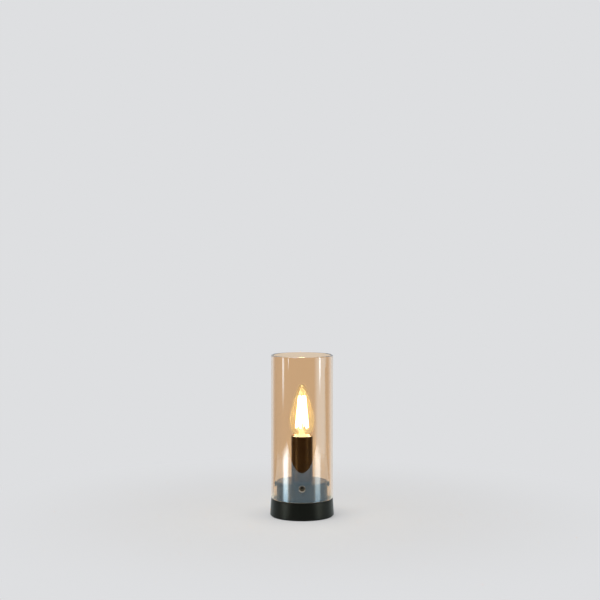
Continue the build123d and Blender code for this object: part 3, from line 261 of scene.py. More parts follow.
def drum_enamel(colours):
    # Stoved black enamel on the drum: smoother than the base, so that its top mirrors the pale
    # surroundings at a low angle.
    return baked_coat("Satin black enamel", colours.powder, (0.20, 0.30))


def sleeve_enamel_and_amber_light(colours):
    # Stoved black enamel on the sleeve: a warmer, smoother black with a satin line of light.
    # Its brown is partly its own and partly painted light, the amber tint that light takes inside
    # the glass.
    return baked_coat("Warm black enamel with painted amber light", colours.enamel, (0.20, 0.28), **{
        "Specular IOR Level": 0.40, "Specular Tint": (*linear("#FFF3D3"), 1)})


def lit_filament(colours):
    # Light-emitting chips on a stick under yellow phosphor silicone: a row of bright beads that
    # melts into one white line when it is lit.
    material, tree, place = new_finish("Lit phosphor silicone")
    beads = add_node(tree, "ShaderNodeTexWave", {
        "Vector": place, "Scale": per(1.6) / (2 * math.pi), "Distortion": 0.0},
        wave_type="BANDS", bands_direction="Z")
    edge = tuple(c * share for c, share in zip(colours.glow, (1.0, 0.92, 0.72)))
    tone = add_node(tree, "ShaderNodeMixRGB", {
        "Fac": beads.outputs["Fac"], "Color1": (*edge, 1), "Color2": (*colours.glow, 1)})
    shader = add_node(tree, "ShaderNodeBsdfPrincipled", {
        "Base Color": (*linear("#F2C35A"), 1), "Roughness": 0.5,
        "Emission Color": tone.outputs["Color"], "Emission Strength": 12.0})
    add_node(tree, "ShaderNodeOutputMaterial", {"Surface": shader.outputs["BSDF"]})
    return material


def nickel_plate(colours):
    # Bright nickel on turned steel: a warm grey mirror with a fine uneven haze.
    return grained("Bright nickel plate", linear("#CFCAC0"), linear("#B9B3A8"), 0.8,
                   (0.14, 0.26), 0.01, Metallic=1.0)


def dulled_nickel():
    # Nickel on the small screws, dulled by handling: a darker metal with a softer shine.
    return grained("Dulled nickel plate", linear("#7A756C"), linear("#66615A"), 0.8,
                   (0.30, 0.42), 0.01, Metallic=1.0)


def painted_recess_shade():
    # Painted shade for a screw's recess: nearly black, standing in for the shade deep in the recess
    # of a nickel plated screw.
    return grained("Painted shade of a screw recess", linear("#1A1815"), linear("#100E0C"), 0.8,
                   (0.5, 0.7), 0.01)


def zinc_steel(colours):
    # Zinc plated steel: a cool pale metal with a cloudy passivated bloom.
    return grained("Zinc plated steel", linear("#C3C7CB"), linear("#9CA2A8"), 1.5,
                   (0.28, 0.45), 0.01, Metallic=1.0)


def brass(colours):
    # Drawn brass: yellow metal, dulled unevenly by handling.
    return grained("Drawn brass", linear("#D9B45F"), linear("#B98F42"), 1.0,
                   (0.22, 0.38), 0.01, Metallic=1.0)


def cast_iron(colours):
    # Sand-cast iron: dark, matt and pitted.
    return grained("Sand cast iron", linear("#4A4A4A"), linear("#343332"), 1.4,
                   (0.6, 0.85), 0.25, Metallic=0.6)


def foam(colours):
    # Closed-cell foam: matt black with cells about a millimetre across.
    return grained("Closed-cell foam", linear("#2A2A2A"), linear("#191919"), 1.0,
                   (0.85, 0.98), 0.2)


def black_nylon(colours):
    # Moulded nylon: black with a low sheen and a spark-eroded grain.
    return grained("Moulded black nylon", linear("#262626"), linear("#1B1B1B"), 0.9,
                   (0.42, 0.6), 0.03)


def white_holder(colours):
    # Glossy moulded polyester: creamy white that lets a little light into its skin.
    dark = tuple(c * 0.93 for c in colours.porcelain)
    return grained("Moulded white polyester", tuple(colours.porcelain), dark, 2.0,
                   (0.22, 0.34), 0.01)


def black_cap_glass(colours):
    # Pressed black glass of the cap's end: very dark, glossy and faintly rippled.
    return grained("Pressed black glass", linear("#141416"), linear("#0C0C0E"), 1.2,
                   (0.06, 0.16), 0.03)


def laminate(colours):
    # Green lacquered glass-epoxy board: glossy, with a fine mottle.
    return grained("Green epoxy laminate", linear("#2F6B41"), linear("#22502F"), 0.7,
                   (0.3, 0.45), 0.02)


def brown_pvc(colours):
    # Extruded soft PVC in brown, smooth with a waxy sheen.
    return grained("Brown PVC", linear("#6A3D22"), linear("#573018"), 1.5, (0.35, 0.5), 0.02)


def blue_pvc(colours):
    # Extruded soft PVC in blue, smooth with a waxy sheen.
    return grained("Blue PVC", linear("#2E5FA8"), linear("#244C89"), 1.5, (0.35, 0.5), 0.02)


def earth_pvc(colours):
    # Extruded soft PVC in green and yellow, which change over in patches.
    return grained("Green and yellow PVC", linear("#D8C62C"), linear("#3B8A3A"), 0.9,
                   (0.35, 0.5), 0.02)


FINISHES = {
    "amber_glass": amber_glass,
    "clear_glass": clear_glass,
    "black_powder_coat": powder_coat,
    "nickel": nickel_plate,
    "zinc_steel": zinc_steel,
    "brass": brass,
    "iron": cast_iron,
    "foam": foam,
    "black_plastic": black_nylon,
    "white_plastic": white_holder,
    "filament": lit_filament,
    "black_glass": black_cap_glass,
    "board": laminate,
    "brown_wire": brown_pvc,
    "blue_wire": blue_pvc,
    "earth_wire": earth_pvc,
}
made_finishes = {}

slot_of = {row["node"]: row["material_slot"] for row in frame["record"]["subparts"]}
body_of = {node: body for body, nodes in frame["record"]["behaviour"]["bodies"].items()
           for node in nodes}

NEAR = 0.02 * MM  # how close to a ring a point counts as on it
HOLD_LIMIT = 0.4  # a ring beside a corner goes at most this share of the way to the next
GLASS_HOLD = 1.25  # rings beside the glass's rims, in shares of their rounding
EDGE_HOLD = 1.4  # rings beside the other edges, in shares of their rounding
ROUND_STEPS = 5  # faces across a rounded edge


def turned(name, outline, sides, ending):
    """Turns an outline of (radius, height) points about the Z axis, ring by ring.

    The ending "bridge" joins the last ring to the first, "point" draws the last ring together
    and "solid" also closes the first.
    """
    radius, height = outline[0]
    bpy.ops.object.select_all(action="DESELECT")
    bpy.ops.mesh.primitive_circle_add(vertices=sides, radius=radius, location=(0, 0, height))
    piece = bpy.context.object
    piece.name = name
    piece.data.name = name
    bpy.ops.object.transform_apply()
    bpy.ops.object.mode_set(mode="EDIT")
    bpy.ops.mesh.select_mode(type="EDGE")
    bpy.ops.mesh.select_all(action="SELECT")
    for next_radius, next_height in outline[1:]:
        bpy.ops.mesh.extrude_region_move(
            TRANSFORM_OT_translate={"value": (0, 0, next_height - height)})
        share = next_radius / radius
        bpy.ops.transform.resize(value=(share, share, 1), center_override=(0, 0, next_height))
        radius, height = next_radius, next_height
    if ending == "bridge":
        bpy.ops.mesh.select_all(action="DESELECT")
        bpy.ops.mesh.select_non_manifold(extend=False, use_wire=False, use_multi_face=False,
                                         use_non_contiguous=False, use_verts=False)
        bpy.ops.mesh.bridge_edge_loops()
    else:
        bpy.ops.mesh.merge(type="CENTER")
    if ending == "solid":
        bpy.ops.mesh.select_all(action="SELECT")
        bpy.ops.mesh.fill_holes(sides=0)
    bpy.ops.mesh.select_all(action="SELECT")
    bpy.ops.mesh.normals_make_consistent(inside=False)
    bpy.ops.object.mode_set(mode="OBJECT")
    return piece


def held(outline, gap):
    """Adds a ring close to each corner of a closed outline, on both sides of it.

    The walls between keep their own direction when the corners are rounded and smoothed.
    """
    rings = []
    for n, corner in enumerate(outline):
        here = Vector(corner)
        for other in (outline[n - 1], outline[(n + 1) % len(outline)]):
            step = Vector(other) - here
            step.length = min(gap, step.length * HOLD_LIMIT)
            rings.append(tuple(here + step))
        rings.insert(-1, corner)
    return rings


def pick_edges(piece, wanted):
    """Goes into edit mode with the edges selected whose two ends both pass a test."""
    bpy.ops.object.mode_set(mode="EDIT")
    bpy.ops.mesh.select_mode(type="EDGE")
    bpy.ops.mesh.select_all(action="DESELECT")
    bpy.ops.object.mode_set(mode="OBJECT")
    points = piece.data.vertices
    for edge in piece.data.edges:
        edge.select = all(wanted(points[n].co) for n in edge.vertices)
    if not any(edge.select for edge in piece.data.edges):
        raise RuntimeError(f"{piece.name}: no edge to pick")
    bpy.ops.object.mode_set(mode="EDIT")


def on_ring(radius, height):
    """A test for points on a ring about the Z axis."""
    def wanted(point):
        return abs(point.xy.length - radius) < NEAR and abs(point.z - height) < NEAR
    return wanted


def round_ring(piece, radius, height, size):
    """Bevels a ring of edges to a rounded edge."""
    pick_edges(piece, on_ring(radius, height))
    bpy.ops.mesh.bevel(offset=size, segments=ROUND_STEPS, affect="EDGES", offset_type="OFFSET")
    bpy.ops.object.mode_set(mode="OBJECT")


def cut_away(piece, cutter):
    """Cuts one solid out of another and deletes the cutter."""
    bpy.ops.object.select_all(action="DESELECT")
    bpy.context.view_layer.objects.active = piece
    piece.select_set(True)
    cut = piece.modifiers.new("Cut", "BOOLEAN")
    cut.object = cutter
    cut.operation = "DIFFERENCE"
    cut.solver = "EXACT"
    bpy.ops.object.modifier_apply(modifier=cut.name)
    bpy.data.objects.remove(cutter)


def dress(piece, node, smooth_angle=35, finish=None, made=False):
    """Smooths a piece, gives it a finish unless its own are made, and puts it in a node's place."""
    bpy.ops.object.select_all(action="DESELECT")
    bpy.context.view_layer.objects.active = piece
    piece.select_set(True)
    bpy.ops.object.shade_smooth_by_angle(angle=math.radians(smooth_angle))
    if not made:
        piece.data.materials.clear()
        piece.data.materials.append(finish or made_finishes[slot_of[node]])
    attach(piece, body_of[node])
    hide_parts(node)


def let_light_through(piece):
    """Keeps glass from casting a black shadow on what stands inside it."""
    piece.visible_shadow = False
    piece.visible_diffuse = False


class LAMP_OT_finishes(bpy.types.Operator):
    """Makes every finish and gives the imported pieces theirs"""

    bl_idname = "lamp.finishes"
    bl_label = "Finishes"

    def execute(self, context):
        for slot, make in FINISHES.items():
            made_finishes[slot] = make(context.scene.lamp_colours)
        for node, piece in frame["nodes"].items():
            for place in piece.material_slots:
                place.material = made_finishes[slot_of[node]]
        mount = frame["nodes"]["bulb_mount"]
        for place in mount.material_slots:
            place.material = mount_glass()
        let_light_through(mount)
        return {"FINISHED"}


RINGS_OFF_HOLE = 1.5  # rings over and under the hole in the glass, in shares of its radius
HOLE_SIDES = 64
HOLE_CUT = 4  # length of the hole's cutter, in shares of the wall
FACES_OUT = 0.9  # a face that points outwards more squarely than this is still the wall's


class LAMP_OT_glass_shade(bpy.types.Operator):
    """Models the glass cylinder with polished rims and a hole in front of one screw"""

    bl_idname = "lamp.glass_shade"
    bl_label = "Glass cylinder"

    def execute(self, context):
        sizes = context.scene.lamp_sizes
        low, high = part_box("glass_shade")
        outer = high.x
        inner = outer - sizes.glass_wall
        screw_low, screw_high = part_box("glass_screws")
        hole = (screw_low.z + screw_high.z) / 2
        under, over = (hole + side * RINGS_OFF_HOLE * sizes.glass_hole for side in (-1, 1))
        corners = [(outer, low.z), (outer, under), (outer, over), (outer, high.z),
                   (inner, high.z), (inner, over), (inner, under), (inner, low.z)]
        shade = turned("amber_cylinder", held(corners, GLASS_HOLD * sizes.glass_rim),
                       sizes.sides, "bridge")
        for radius in (outer, inner):
            for height in (low.z, high.z):
                round_ring(shade, radius, height, sizes.glass_rim)
        bpy.ops.object.select_all(action="DESELECT")
        bpy.ops.mesh.primitive_cylinder_add(
            vertices=HOLE_SIDES, radius=sizes.glass_hole, depth=HOLE_CUT * sizes.glass_wall,
            location=(0, -outer, hole), rotation=(math.radians(90), 0, 0))
        cut_away(shade, context.object)

        def at_mouth(point):
            across = math.hypot(point.x, point.z - hole)
            return (point.y < -inner and abs(point.xy.length - outer) < NEAR
                    and abs(across - sizes.glass_hole) < NEAR)

        pick_edges(shade, at_mouth)
        bpy.ops.mesh.bevel(offset=sizes.hole_bevel, segments=1, affect="EDGES")
        bpy.ops.object.mode_set(mode="OBJECT")
        dress(shade, "glass_shade")
        bare, ground = 1, 2
        shade.data.materials.append(bare_amber_glass(context.scene.lamp_colours))
        shade.data.materials.append(ground_amber_glass(context.scene.lamp_colours))
        foot = low.z + sizes.glass_rim / 2
        middle = (outer + inner) / 2
        mouth = sizes.glass_hole + sizes.hole_bevel
        for face in shade.data.polygons:
            at = face.center
            bored = (at.y < 0 and math.hypot(at.x, at.z - hole) < mouth
                     and abs(face.normal.y) < FACES_OUT)
            if at.z < foot or bored:
                face.material_index = ground
            elif at.xy.length < middle:
                face.material_index = bare
        let_light_through(shade)
        return {"FINISHED"}


CORD_HOLE_SIDES = 48
CUT_PAST = 3 * MM  # how far the cord hole's cutter reaches past each end of the bush


class LAMP_OT_base(bpy.types.Operator):
    """Models the round base as a hollow casting with the cord's hole"""

    bl_idname = "lamp.base"
    bl_label = "Base"

    def execute(self, context):
        sizes = context.scene.lamp_sizes
        low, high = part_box("base_shell")
        foot = high.x
        top = foot - sizes.base_flare
        ceiling = high.z - sizes.base_top
        corners = [
            (foot - sizes.base_foot, low.z),
            (foot, low.z + sizes.base_foot),
            (top, high.z),
            (sizes.stem_hole, high.z),
            (sizes.stem_hole, ceiling),
            (top - sizes.base_wall, ceiling),
            (foot - sizes.base_wall, low.z),
        ]
        base = turned("round_base", held(corners, EDGE_HOLD * sizes.base_edge),
                      sizes.sides, "bridge")
        round_ring(base, top, high.z, sizes.base_edge)
        round_ring(base, foot, low.z + sizes.base_foot, sizes.base_foot / 2)
        bush_low, bush_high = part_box("cord_bush")
        middle = (bush_low + bush_high) / 2
        bpy.ops.object.select_all(action="DESELECT")
        bpy.ops.mesh.primitive_cylinder_add(
            vertices=CORD_HOLE_SIDES, radius=sizes.cord_hole,
            depth=bush_high.y - bush_low.y + 2 * CUT_PAST,
            location=(0, middle.y, middle.z), rotation=(math.radians(90), 0, 0))
        cut_away(base, context.object)
        dress(base, "base_shell")
        return {"FINISHED"}


class LAMP_OT_drum(bpy.types.Operator):
    """Models the drum inside the glass"""

    bl_idname = "lamp.drum"
    bl_label = "Drum"

    def execute(self, context):
        sizes = context.scene.lamp_sizes
        low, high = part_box("drum")
        inner = high.x - sizes.drum_wall
        under = high.z - sizes.drum_top
        corners = [
            (high.x, low.z),
            (high.x, high.z),
            (sizes.stem_hole, high.z),
            (sizes.stem_hole, under),
            (inner, under),
            (inner, low.z),
        ]
        drum = turned("inner_drum", held(corners, EDGE_HOLD * sizes.drum_edge),
                      sizes.sides, "bridge")
        round_ring(drum, high.x, high.z, sizes.drum_edge)
        dress(drum, "drum", finish=drum_enamel(context.scene.lamp_colours))
        return {"FINISHED"}


# Crown of a screw's pan head: share of its radius, share of its height below the face
SCREW_CROWN = (
    (1.0, 0.55), (0.985, 0.42), (0.94, 0.29), (0.86, 0.18), (0.74, 0.09), (0.55, 0.03),
    (0.2, 0.0),
)
SCREW_ANGLES = (0, 90, 180, 270)
SCREW_SIDES = 64
SCREW_SEAT = 0.94  # share of the head's radius that bears on the drum
SCREW_BREAK = 0.2 * MM  # height of the head's lower edge, and of the shank's ring under it
RECESS_ANGLES = (0, 90)
RECESS_LENGTH = 1.25  # in shares of the head's radius
RECESS_DEPTH = 1.5  # of its cutter, in shares of the head's height, half of it below the face
RECESS_TAPER = 0.8  # how narrow the recess is at its floor
# Faces that lie within both shares below get the recess's painted shade.
RECESS_REACH = 0.75  # faces within this share of the head's radius are the recess's
RECESS_LIP = 0.2  # if they also lie this share of the head's height below the face


class LAMP_OT_glass_screws(bpy.types.Operator):
    """Models a pan-head screw with a cross recess and sets four round the drum"""

    bl_idname = "lamp.glass_screws"
    bl_label = "Glass screws"

    def execute(self, context):
        sizes = context.scene.lamp_sizes
        low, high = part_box("glass_screws")
        _, nut_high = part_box("glass_screw_nuts")
        head = (high.z - low.z) / 2
        face = high.x
        seat = face - sizes.screw_head
        crown = [(head * across, face - sizes.screw_head * down) for across, down in SCREW_CROWN]
        screw = turned("pan_head_screw", [
            (sizes.screw_shank, nut_high.x - sizes.screw_nut),
            (sizes.screw_shank, seat - SCREW_BREAK), (sizes.screw_shank, seat),
            (head * SCREW_SEAT, seat), (head, seat + SCREW_BREAK), *crown,
        ], SCREW_SIDES, "solid")
        for angle in RECESS_ANGLES:
            bpy.ops.object.select_all(action="DESELECT")
            bpy.ops.mesh.primitive_cube_add(
                size=1, location=(0, 0, face), rotation=(0, 0, math.radians(angle)),
                scale=(sizes.screw_slot, head * RECESS_LENGTH, sizes.screw_head * RECESS_DEPTH))
            bpy.ops.object.transform_apply()
            recess = context.object
            pick_edges(recess, lambda point: point.z < face)
            bpy.ops.transform.resize(value=(RECESS_TAPER, RECESS_TAPER, 1),
                                     center_override=(0, 0, face))
            bpy.ops.object.mode_set(mode="OBJECT")
            cut_away(screw, recess)
        # Faces deep in the cross recess get the nearly black painted shade, the rest nickel.
        plain, dark = 0, 1
        screw.data.materials.clear()
        screw.data.materials.append(dulled_nickel())
        screw.data.materials.append(painted_recess_shade())
        lip = face - RECESS_LIP * sizes.screw_head
        for side in screw.data.polygons:
            at = side.center
            shaded_recess = seat < at.z < lip and at.xy.length < RECESS_REACH * head
            side.material_index = dark if shaded_recess else plain
        copies = []
        for angle in SCREW_ANGLES:
            bpy.ops.object.select_all(action="DESELECT")
            context.view_layer.objects.active = screw
            screw.select_set(True)
            bpy.ops.object.duplicate()
            copy = context.object
            copy.rotation_euler = (0, math.radians(90), math.radians(angle))
            copy.location = (0, 0, (low.z + high.z) / 2)
            bpy.ops.object.transform_apply()
            copies.append(copy)
        bpy.data.objects.remove(screw)
        for copy in copies:
            copy.select_set(True)
        bpy.ops.object.join()
        screws = context.object
        screws.name = screws.data.name = "pan_head_screws"
        dress(screws, "glass_screws", smooth_angle=30, made=True)
        return {"FINISHED"}


class LAMP_OT_sleeve(bpy.types.Operator):
    """Models the candle sleeve"""

    bl_idname = "lamp.sleeve"
    bl_label = "Candle sleeve"

    def execute(self, context):
        sizes = context.scene.lamp_sizes
        low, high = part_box("candle_sleeve")
        inner = high.x - sizes.sleeve_wall
        corners = [(high.x, low.z), (high.x, high.z), (inner, high.z), (inner, low.z)]
        sleeve = turned("black_sleeve", held(corners, EDGE_HOLD * sizes.sleeve_edge),
                        sizes.sides, "bridge")
        for radius in (high.x, inner):
            round_ring(sleeve, radius, high.z, sizes.sleeve_edge)
        dress(sleeve, "candle_sleeve", finish=sleeve_enamel_and_amber_light(context.scene.lamp_colours))
        return {"FINISHED"}


# Bulb outline above the cap's rim: share of the glass's height, share of its widest radius
BULB_SHARES = (
    (0.045, 0.525), (0.090, 0.710), (0.150, 0.865), (0.235, 0.965), (0.325, 1.000),
    (0.425, 0.965), (0.530, 0.870), (0.640, 0.750), (0.740, 0.625), (0.830, 0.500),
    (0.900, 0.375), (0.950, 0.265), (0.980, 0.175), (0.994, 0.100),
)
BULB_TIP = (0.999, 0.040)  # the last ring, which is drawn together
BULB_STEPS = 5  # rings between two points of the outline


def eased(points, steps):
    """Points of a smooth curve through the given ones."""
    ends = [points[0], *points, points[-1]]
    curve = []
    for before, start, end, after in zip(ends, ends[1:], ends[2:], ends[3:]):
        for n in range(steps):
            t = n / steps
            curve.append(tuple(
                0.5 * (2 * b + (c - a) * t + (2 * a - 5 * b + 4 * c - d) * t * t
                       + (3 * b - a - 3 * c + d) * t ** 3)
                for a, b, c, d in zip(before, start, end, after)))
    return [*curve, points[-1]]


class LAMP_OT_bulb_glass(bpy.types.Operator):
    """Models the candle bulb's thin glass"""

    bl_idname = "lamp.bulb_glass"
    bl_label = "Bulb glass"

    def execute(self, context):
        sizes = context.scene.lamp_sizes
        low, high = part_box("bulb_envelope")
        rise = high.z - sizes.cap_rim
        *shares, tip = [(high.x * across, sizes.cap_rim + rise * up)
                        for up, across in (*BULB_SHARES, BULB_TIP)]
        outline = eased([(sizes.bulb_neck, low.z), (sizes.bulb_neck, sizes.cap_rim), *shares],
                        BULB_STEPS)
        bulb = turned("candle_bulb", [*outline, tip], sizes.sides // 2, "point")
        wall = bulb.modifiers.new("Wall", "SOLIDIFY")
        wall.thickness = sizes.bulb_wall
        wall.offset = -1
        wall.use_even_offset = True
        bpy.ops.object.modifier_apply(modifier=wall.name)
        dress(bulb, "bulb_envelope", smooth_angle=60)
        let_light_through(bulb)
        return {"FINISHED"}


CREAM = (1.0, 0.98, 0.90)
DAYLIGHT = (0.84, 1.0, 0.95)
# Lights: name, place, height of the aim on the lamp's axis, width and height, watts, shares of
# the width and height over which each edge fades, tint
LIGHTS = (
    ("overhead softbox", (-0.5, -0.7, 2.0), 0.1, (1.6, 1.6), 16.0, (0.0, 0.0), WHITE),
    ("left strip", (-1.729, -0.499, 0.53), 0.53, (0.36, 1.24), 3.5, (0.3, 0.1), CREAM),
    ("left slit", (-1.403, -1.128, 0.62), 0.62, (0.10, 1.2), 1.7, (0.25, 0.04), CREAM),
    ("right strip", (1.677, -0.654, 0.55), 0.55, (0.26, 1.2), 3.3, (0.25, 0.08), CREAM),
    ("right panel", (1.932, -0.518, -0.2), -0.2, (2.5, 1.2), 10.5, (0.35, 0.1), DAYLIGHT),
)
# Lights between the filaments: share of their height, watts
FILAMENT_LIGHTS = ((0.3, 0.12), (0.7, 0.05))
FILAMENT_SOFTNESS = 4 * MM

# The camera's focal length and the width of its picture, in pixels
FOCAL_PIXELS = 1446
PICTURE_PIXELS = 600
CAMERA_PLACE = (-2.8 * MM, -1977 * MM, 398 * MM)
CAMERA_DIP = 2.92  # degrees below level

# What glass and metal mirror, by degrees round the lamp from its front: where the dark in front
# ends, and on the left and right where the dim side turns into the full light behind
FRONT_DARK = (40, 80)
REAR_EDGES = ((-112, -145), (108, 130))
SIDE_LEVEL = 0.12
STUDIO_DARK = (0.008, 0.008, 0.008, 1)
STUDIO_GREY = (0.5, 0.5, 0.5, 1)

# The floor, in metres from the lamp's axis: its width, the edges of the slab that it is when
# mirrored, and the distances over which the shadow, the gleams and their warmth change
FLOOR_WIDTH = 60
SLAB_FRONT = -0.425
SLAB_BACK = 0.13
SLAB_SIDES = (0.46, 0.66)
SHADOW_FADE = (0.04, 0.5)
GLEAM_RISE = (0.10, 0.34)
GLEAM_WARMTH = (0.17, 0.36)
GLEAM_NEAR = (0.80, 1.0, 1.04, 1)  # tint close to the lamp
GLEAM_FAR = (1.0, 0.97, 0.84, 1)  # tint farther away
GLEAM_LEAST = 0.35  # level close to the lamp
SHADOW_PLAIN = 0.4  # share of plain backdrop in the floor close to the lamp
# Painted gleams on the slab, emission seen only in reflections: bearing and half width in degrees,
# strength, start
GLEAMS = (
    (-63.5, 10, 4.3, (-0.022, -0.036)),
    (60, 11, 2.2, (0.021, -0.037)),
)
GLEAM_EDGES = (0.4, 1.6)  # where a gleam's sides fade, in shares of its half width


class LAMP_OT_stage(bpy.types.Operator):
    """Sets the floor, the surroundings, the lights and the camera"""

    bl_idname = "lamp.stage"
    bl_label = "Stage"

    def execute(self, context):
        colours = context.scene.lamp_colours
        bpy.ops.object.select_all(action="DESELECT")
        bpy.ops.mesh.primitive_plane_add(size=FLOOR_WIDTH)
        floor = context.object
        floor.name = "floor"
        floor.data.materials.append(self.floor_finish(colours))
        self.surroundings(context.scene, colours)
        for name, place, aim_height, size, watts, fade, tint in LIGHTS:
            lamp = bpy.data.lights.new(name, "AREA")
            lamp.shape = "RECTANGLE"
            lamp.size, lamp.size_y = size
            lamp.energy = watts
            self.fade_edges(lamp, fade, tint)
            lit = bpy.data.objects.new(name, lamp)
            lit.location = place
            aim = Vector((0, 0, aim_height)) - lit.location
            lit.rotation_euler = aim.to_track_quat("-Z", "Y").to_euler()
            lit.visible_camera = False
            lit.visible_transmission = False
            context.collection.objects.link(lit)
        self.bulb_light(context, colours)
        view = bpy.data.cameras.new("photo view")
        view.sensor_width = 36
        view.lens = FOCAL_PIXELS / PICTURE_PIXELS * view.sensor_width
        camera = bpy.data.objects.new("photo view", view)
        camera.location = CAMERA_PLACE
        camera.rotation_euler = (math.radians(90 - CAMERA_DIP), 0, 0)
        context.collection.objects.link(camera)
        context.scene.camera = camera
        context.scene.view_settings.view_transform = "Standard"
        return {"FINISHED"}

    def bulb_light(self, context, colours):
        """Puts the light of the lit filaments between them, near their feet and their heads."""
        low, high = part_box("bulb_filaments")
        for share, watts in FILAMENT_LIGHTS:
            lamp = bpy.data.lights.new("filament light", "POINT")
            lamp.energy = watts
            lamp.color = colours.glow
            lamp.shadow_soft_size = FILAMENT_SOFTNESS
            lit = bpy.data.objects.new("filament light", lamp)
            lit.location = (0, 0, low.z + (high.z - low.z) * share)
            lit.visible_camera = False
            lit.visible_glossy = False
            lit.visible_transmission = False
            context.collection.objects.link(lit)

    def fade_edges(self, lamp, fade, tint):
        """Tints a light and dims it towards its edges, by shares of its width and height."""
        lamp.use_nodes = True
        tree = lamp.node_tree
        tree.nodes.clear()
        place = add_node(tree, "ShaderNodeNewGeometry").outputs["Parametric"]
        spot = add_node(tree, "ShaderNodeSeparateXYZ", {"Vector": place})
        middle = 0.5
        level = None
        for axis, share in zip("XY", fade):
            if not share:
                continue
            off = add_node(tree, "ShaderNodeMath", {0: spot.outputs[axis], 1: middle},
                           operation="SUBTRACT")
            off = add_node(tree, "ShaderNodeMath", {0: off.outputs[0]}, operation="ABSOLUTE")
            level_here = add_node(tree, "ShaderNodeMapRange", {
                "Value": off.outputs[0], "From Min": middle - share, "From Max": middle,
                "To Min": 1.0, "To Max": 0.0}, interpolation_type="SMOOTHSTEP").outputs["Result"]
            level = level_here if level is None else add_node(
                tree, "ShaderNodeMath", {0: level, 1: level_here}, operation="MULTIPLY").outputs[0]
        shine = add_node(tree, "ShaderNodeEmission", {"Color": (*tint, 1)})
        if level is not None:
            tree.links.new(level, shine.inputs["Strength"])
        add_node(tree, "ShaderNodeOutputLight", {"Surface": shine.outputs[0]})

    def straight_ray(self, tree, turns_below):
        """Says of a ray if it comes from the camera straight or through glass, if it was
        mirrored last, and if it passed glass last.

        A ray that reaches the world counts one turn more than one that reaches the floor.
        """
        ray = add_node(tree, "ShaderNodeLightPath")
        turns = add_node(tree, "ShaderNodeMath", {
            0: ray.outputs["Ray Depth"], 1: ray.outputs["Transmission Depth"]},
            operation="SUBTRACT")
        straight = add_node(tree, "ShaderNodeMath", {0: turns.outputs[0], 1: turns_below},
                            operation="LESS_THAN")
        return straight.outputs[0], ray.outputs["Is Glossy Ray"], ray.outputs["Is Transmission Ray"]

    def rear_light(self, tree, spot):
        """Share of the backdrop's light by the way round the lamp: dark in front of it, dim
        beside it and full behind it."""
        nearer = add_node(tree, "ShaderNodeMath", {0: spot.outputs["Y"], 1: -1.0},
                          operation="MULTIPLY")
        turn = add_node(tree, "ShaderNodeMath", {0: spot.outputs["X"], 1: nearer.outputs[0]},
                        operation="ARCTAN2")
        sides = [add_node(tree, "ShaderNodeMapRange", {
            "Value": turn.outputs[0], "From Min": math.radians(dim), "From Max": math.radians(full),
            "To Min": SIDE_LEVEL, "To Max": 1.0}, interpolation_type="SMOOTHSTEP").outputs["Result"]
            for dim, full in REAR_EDGES]
        level = add_node(tree, "ShaderNodeMath", {0: sides[0], 1: sides[1]}, operation="MAXIMUM")
        off = add_node(tree, "ShaderNodeMath", {0: turn.outputs[0]}, operation="ABSOLUTE")
        beside = add_node(tree, "ShaderNodeMapRange", {
            "Value": off.outputs[0], "From Min": math.radians(FRONT_DARK[0]),
            "From Max": math.radians(FRONT_DARK[1])})
        return add_node(tree, "ShaderNodeMath", {0: level.outputs[0], 1: beside.outputs["Result"]},
                        operation="MULTIPLY").outputs[0]

    def floor_finish(self, colours):
        # Honed pale stone. Seen straight it is plain and keeps the lamp's shadow, fading into
        # the backdrop. Glass and metal mirror it as a satin slab of a cooler tint, which is a
        # painted tint of their reflection, that ends in front and at the sides, past which they
        # mirror the dim studio. On the slab lie painted gleams, emission seen only in reflections,
        # that stand in for daylight from the left and, weaker, from the right.
        material, tree, place = new_finish("Honed pale stone")
        straight, glossy, _ = self.straight_ray(tree, turns_below=0.5)
        cloud = add_node(tree, "ShaderNodeTexNoise",
                         {"Vector": place, "Scale": per(120), "Detail": 4.0})
        tone = add_node(tree, "ShaderNodeMixRGB", {
            "Fac": cloud.outputs["Fac"], "Color1": (*linear("#E4E3E2"), 1),
            "Color2": (*linear("#DFDEDD"), 1)})
        # The slab's cooler tint seen only in reflections, a painted tint of what glass and metal
        # mirror.
        cool = add_node(tree, "ShaderNodeMixRGB", {
            "Fac": cloud.outputs["Fac"], "Color1": (*linear("#DFEFF0"), 1),
            "Color2": (*linear("#DAEAEB"), 1)})
        spot = add_node(tree, "ShaderNodeSeparateXYZ", {"Vector": place})
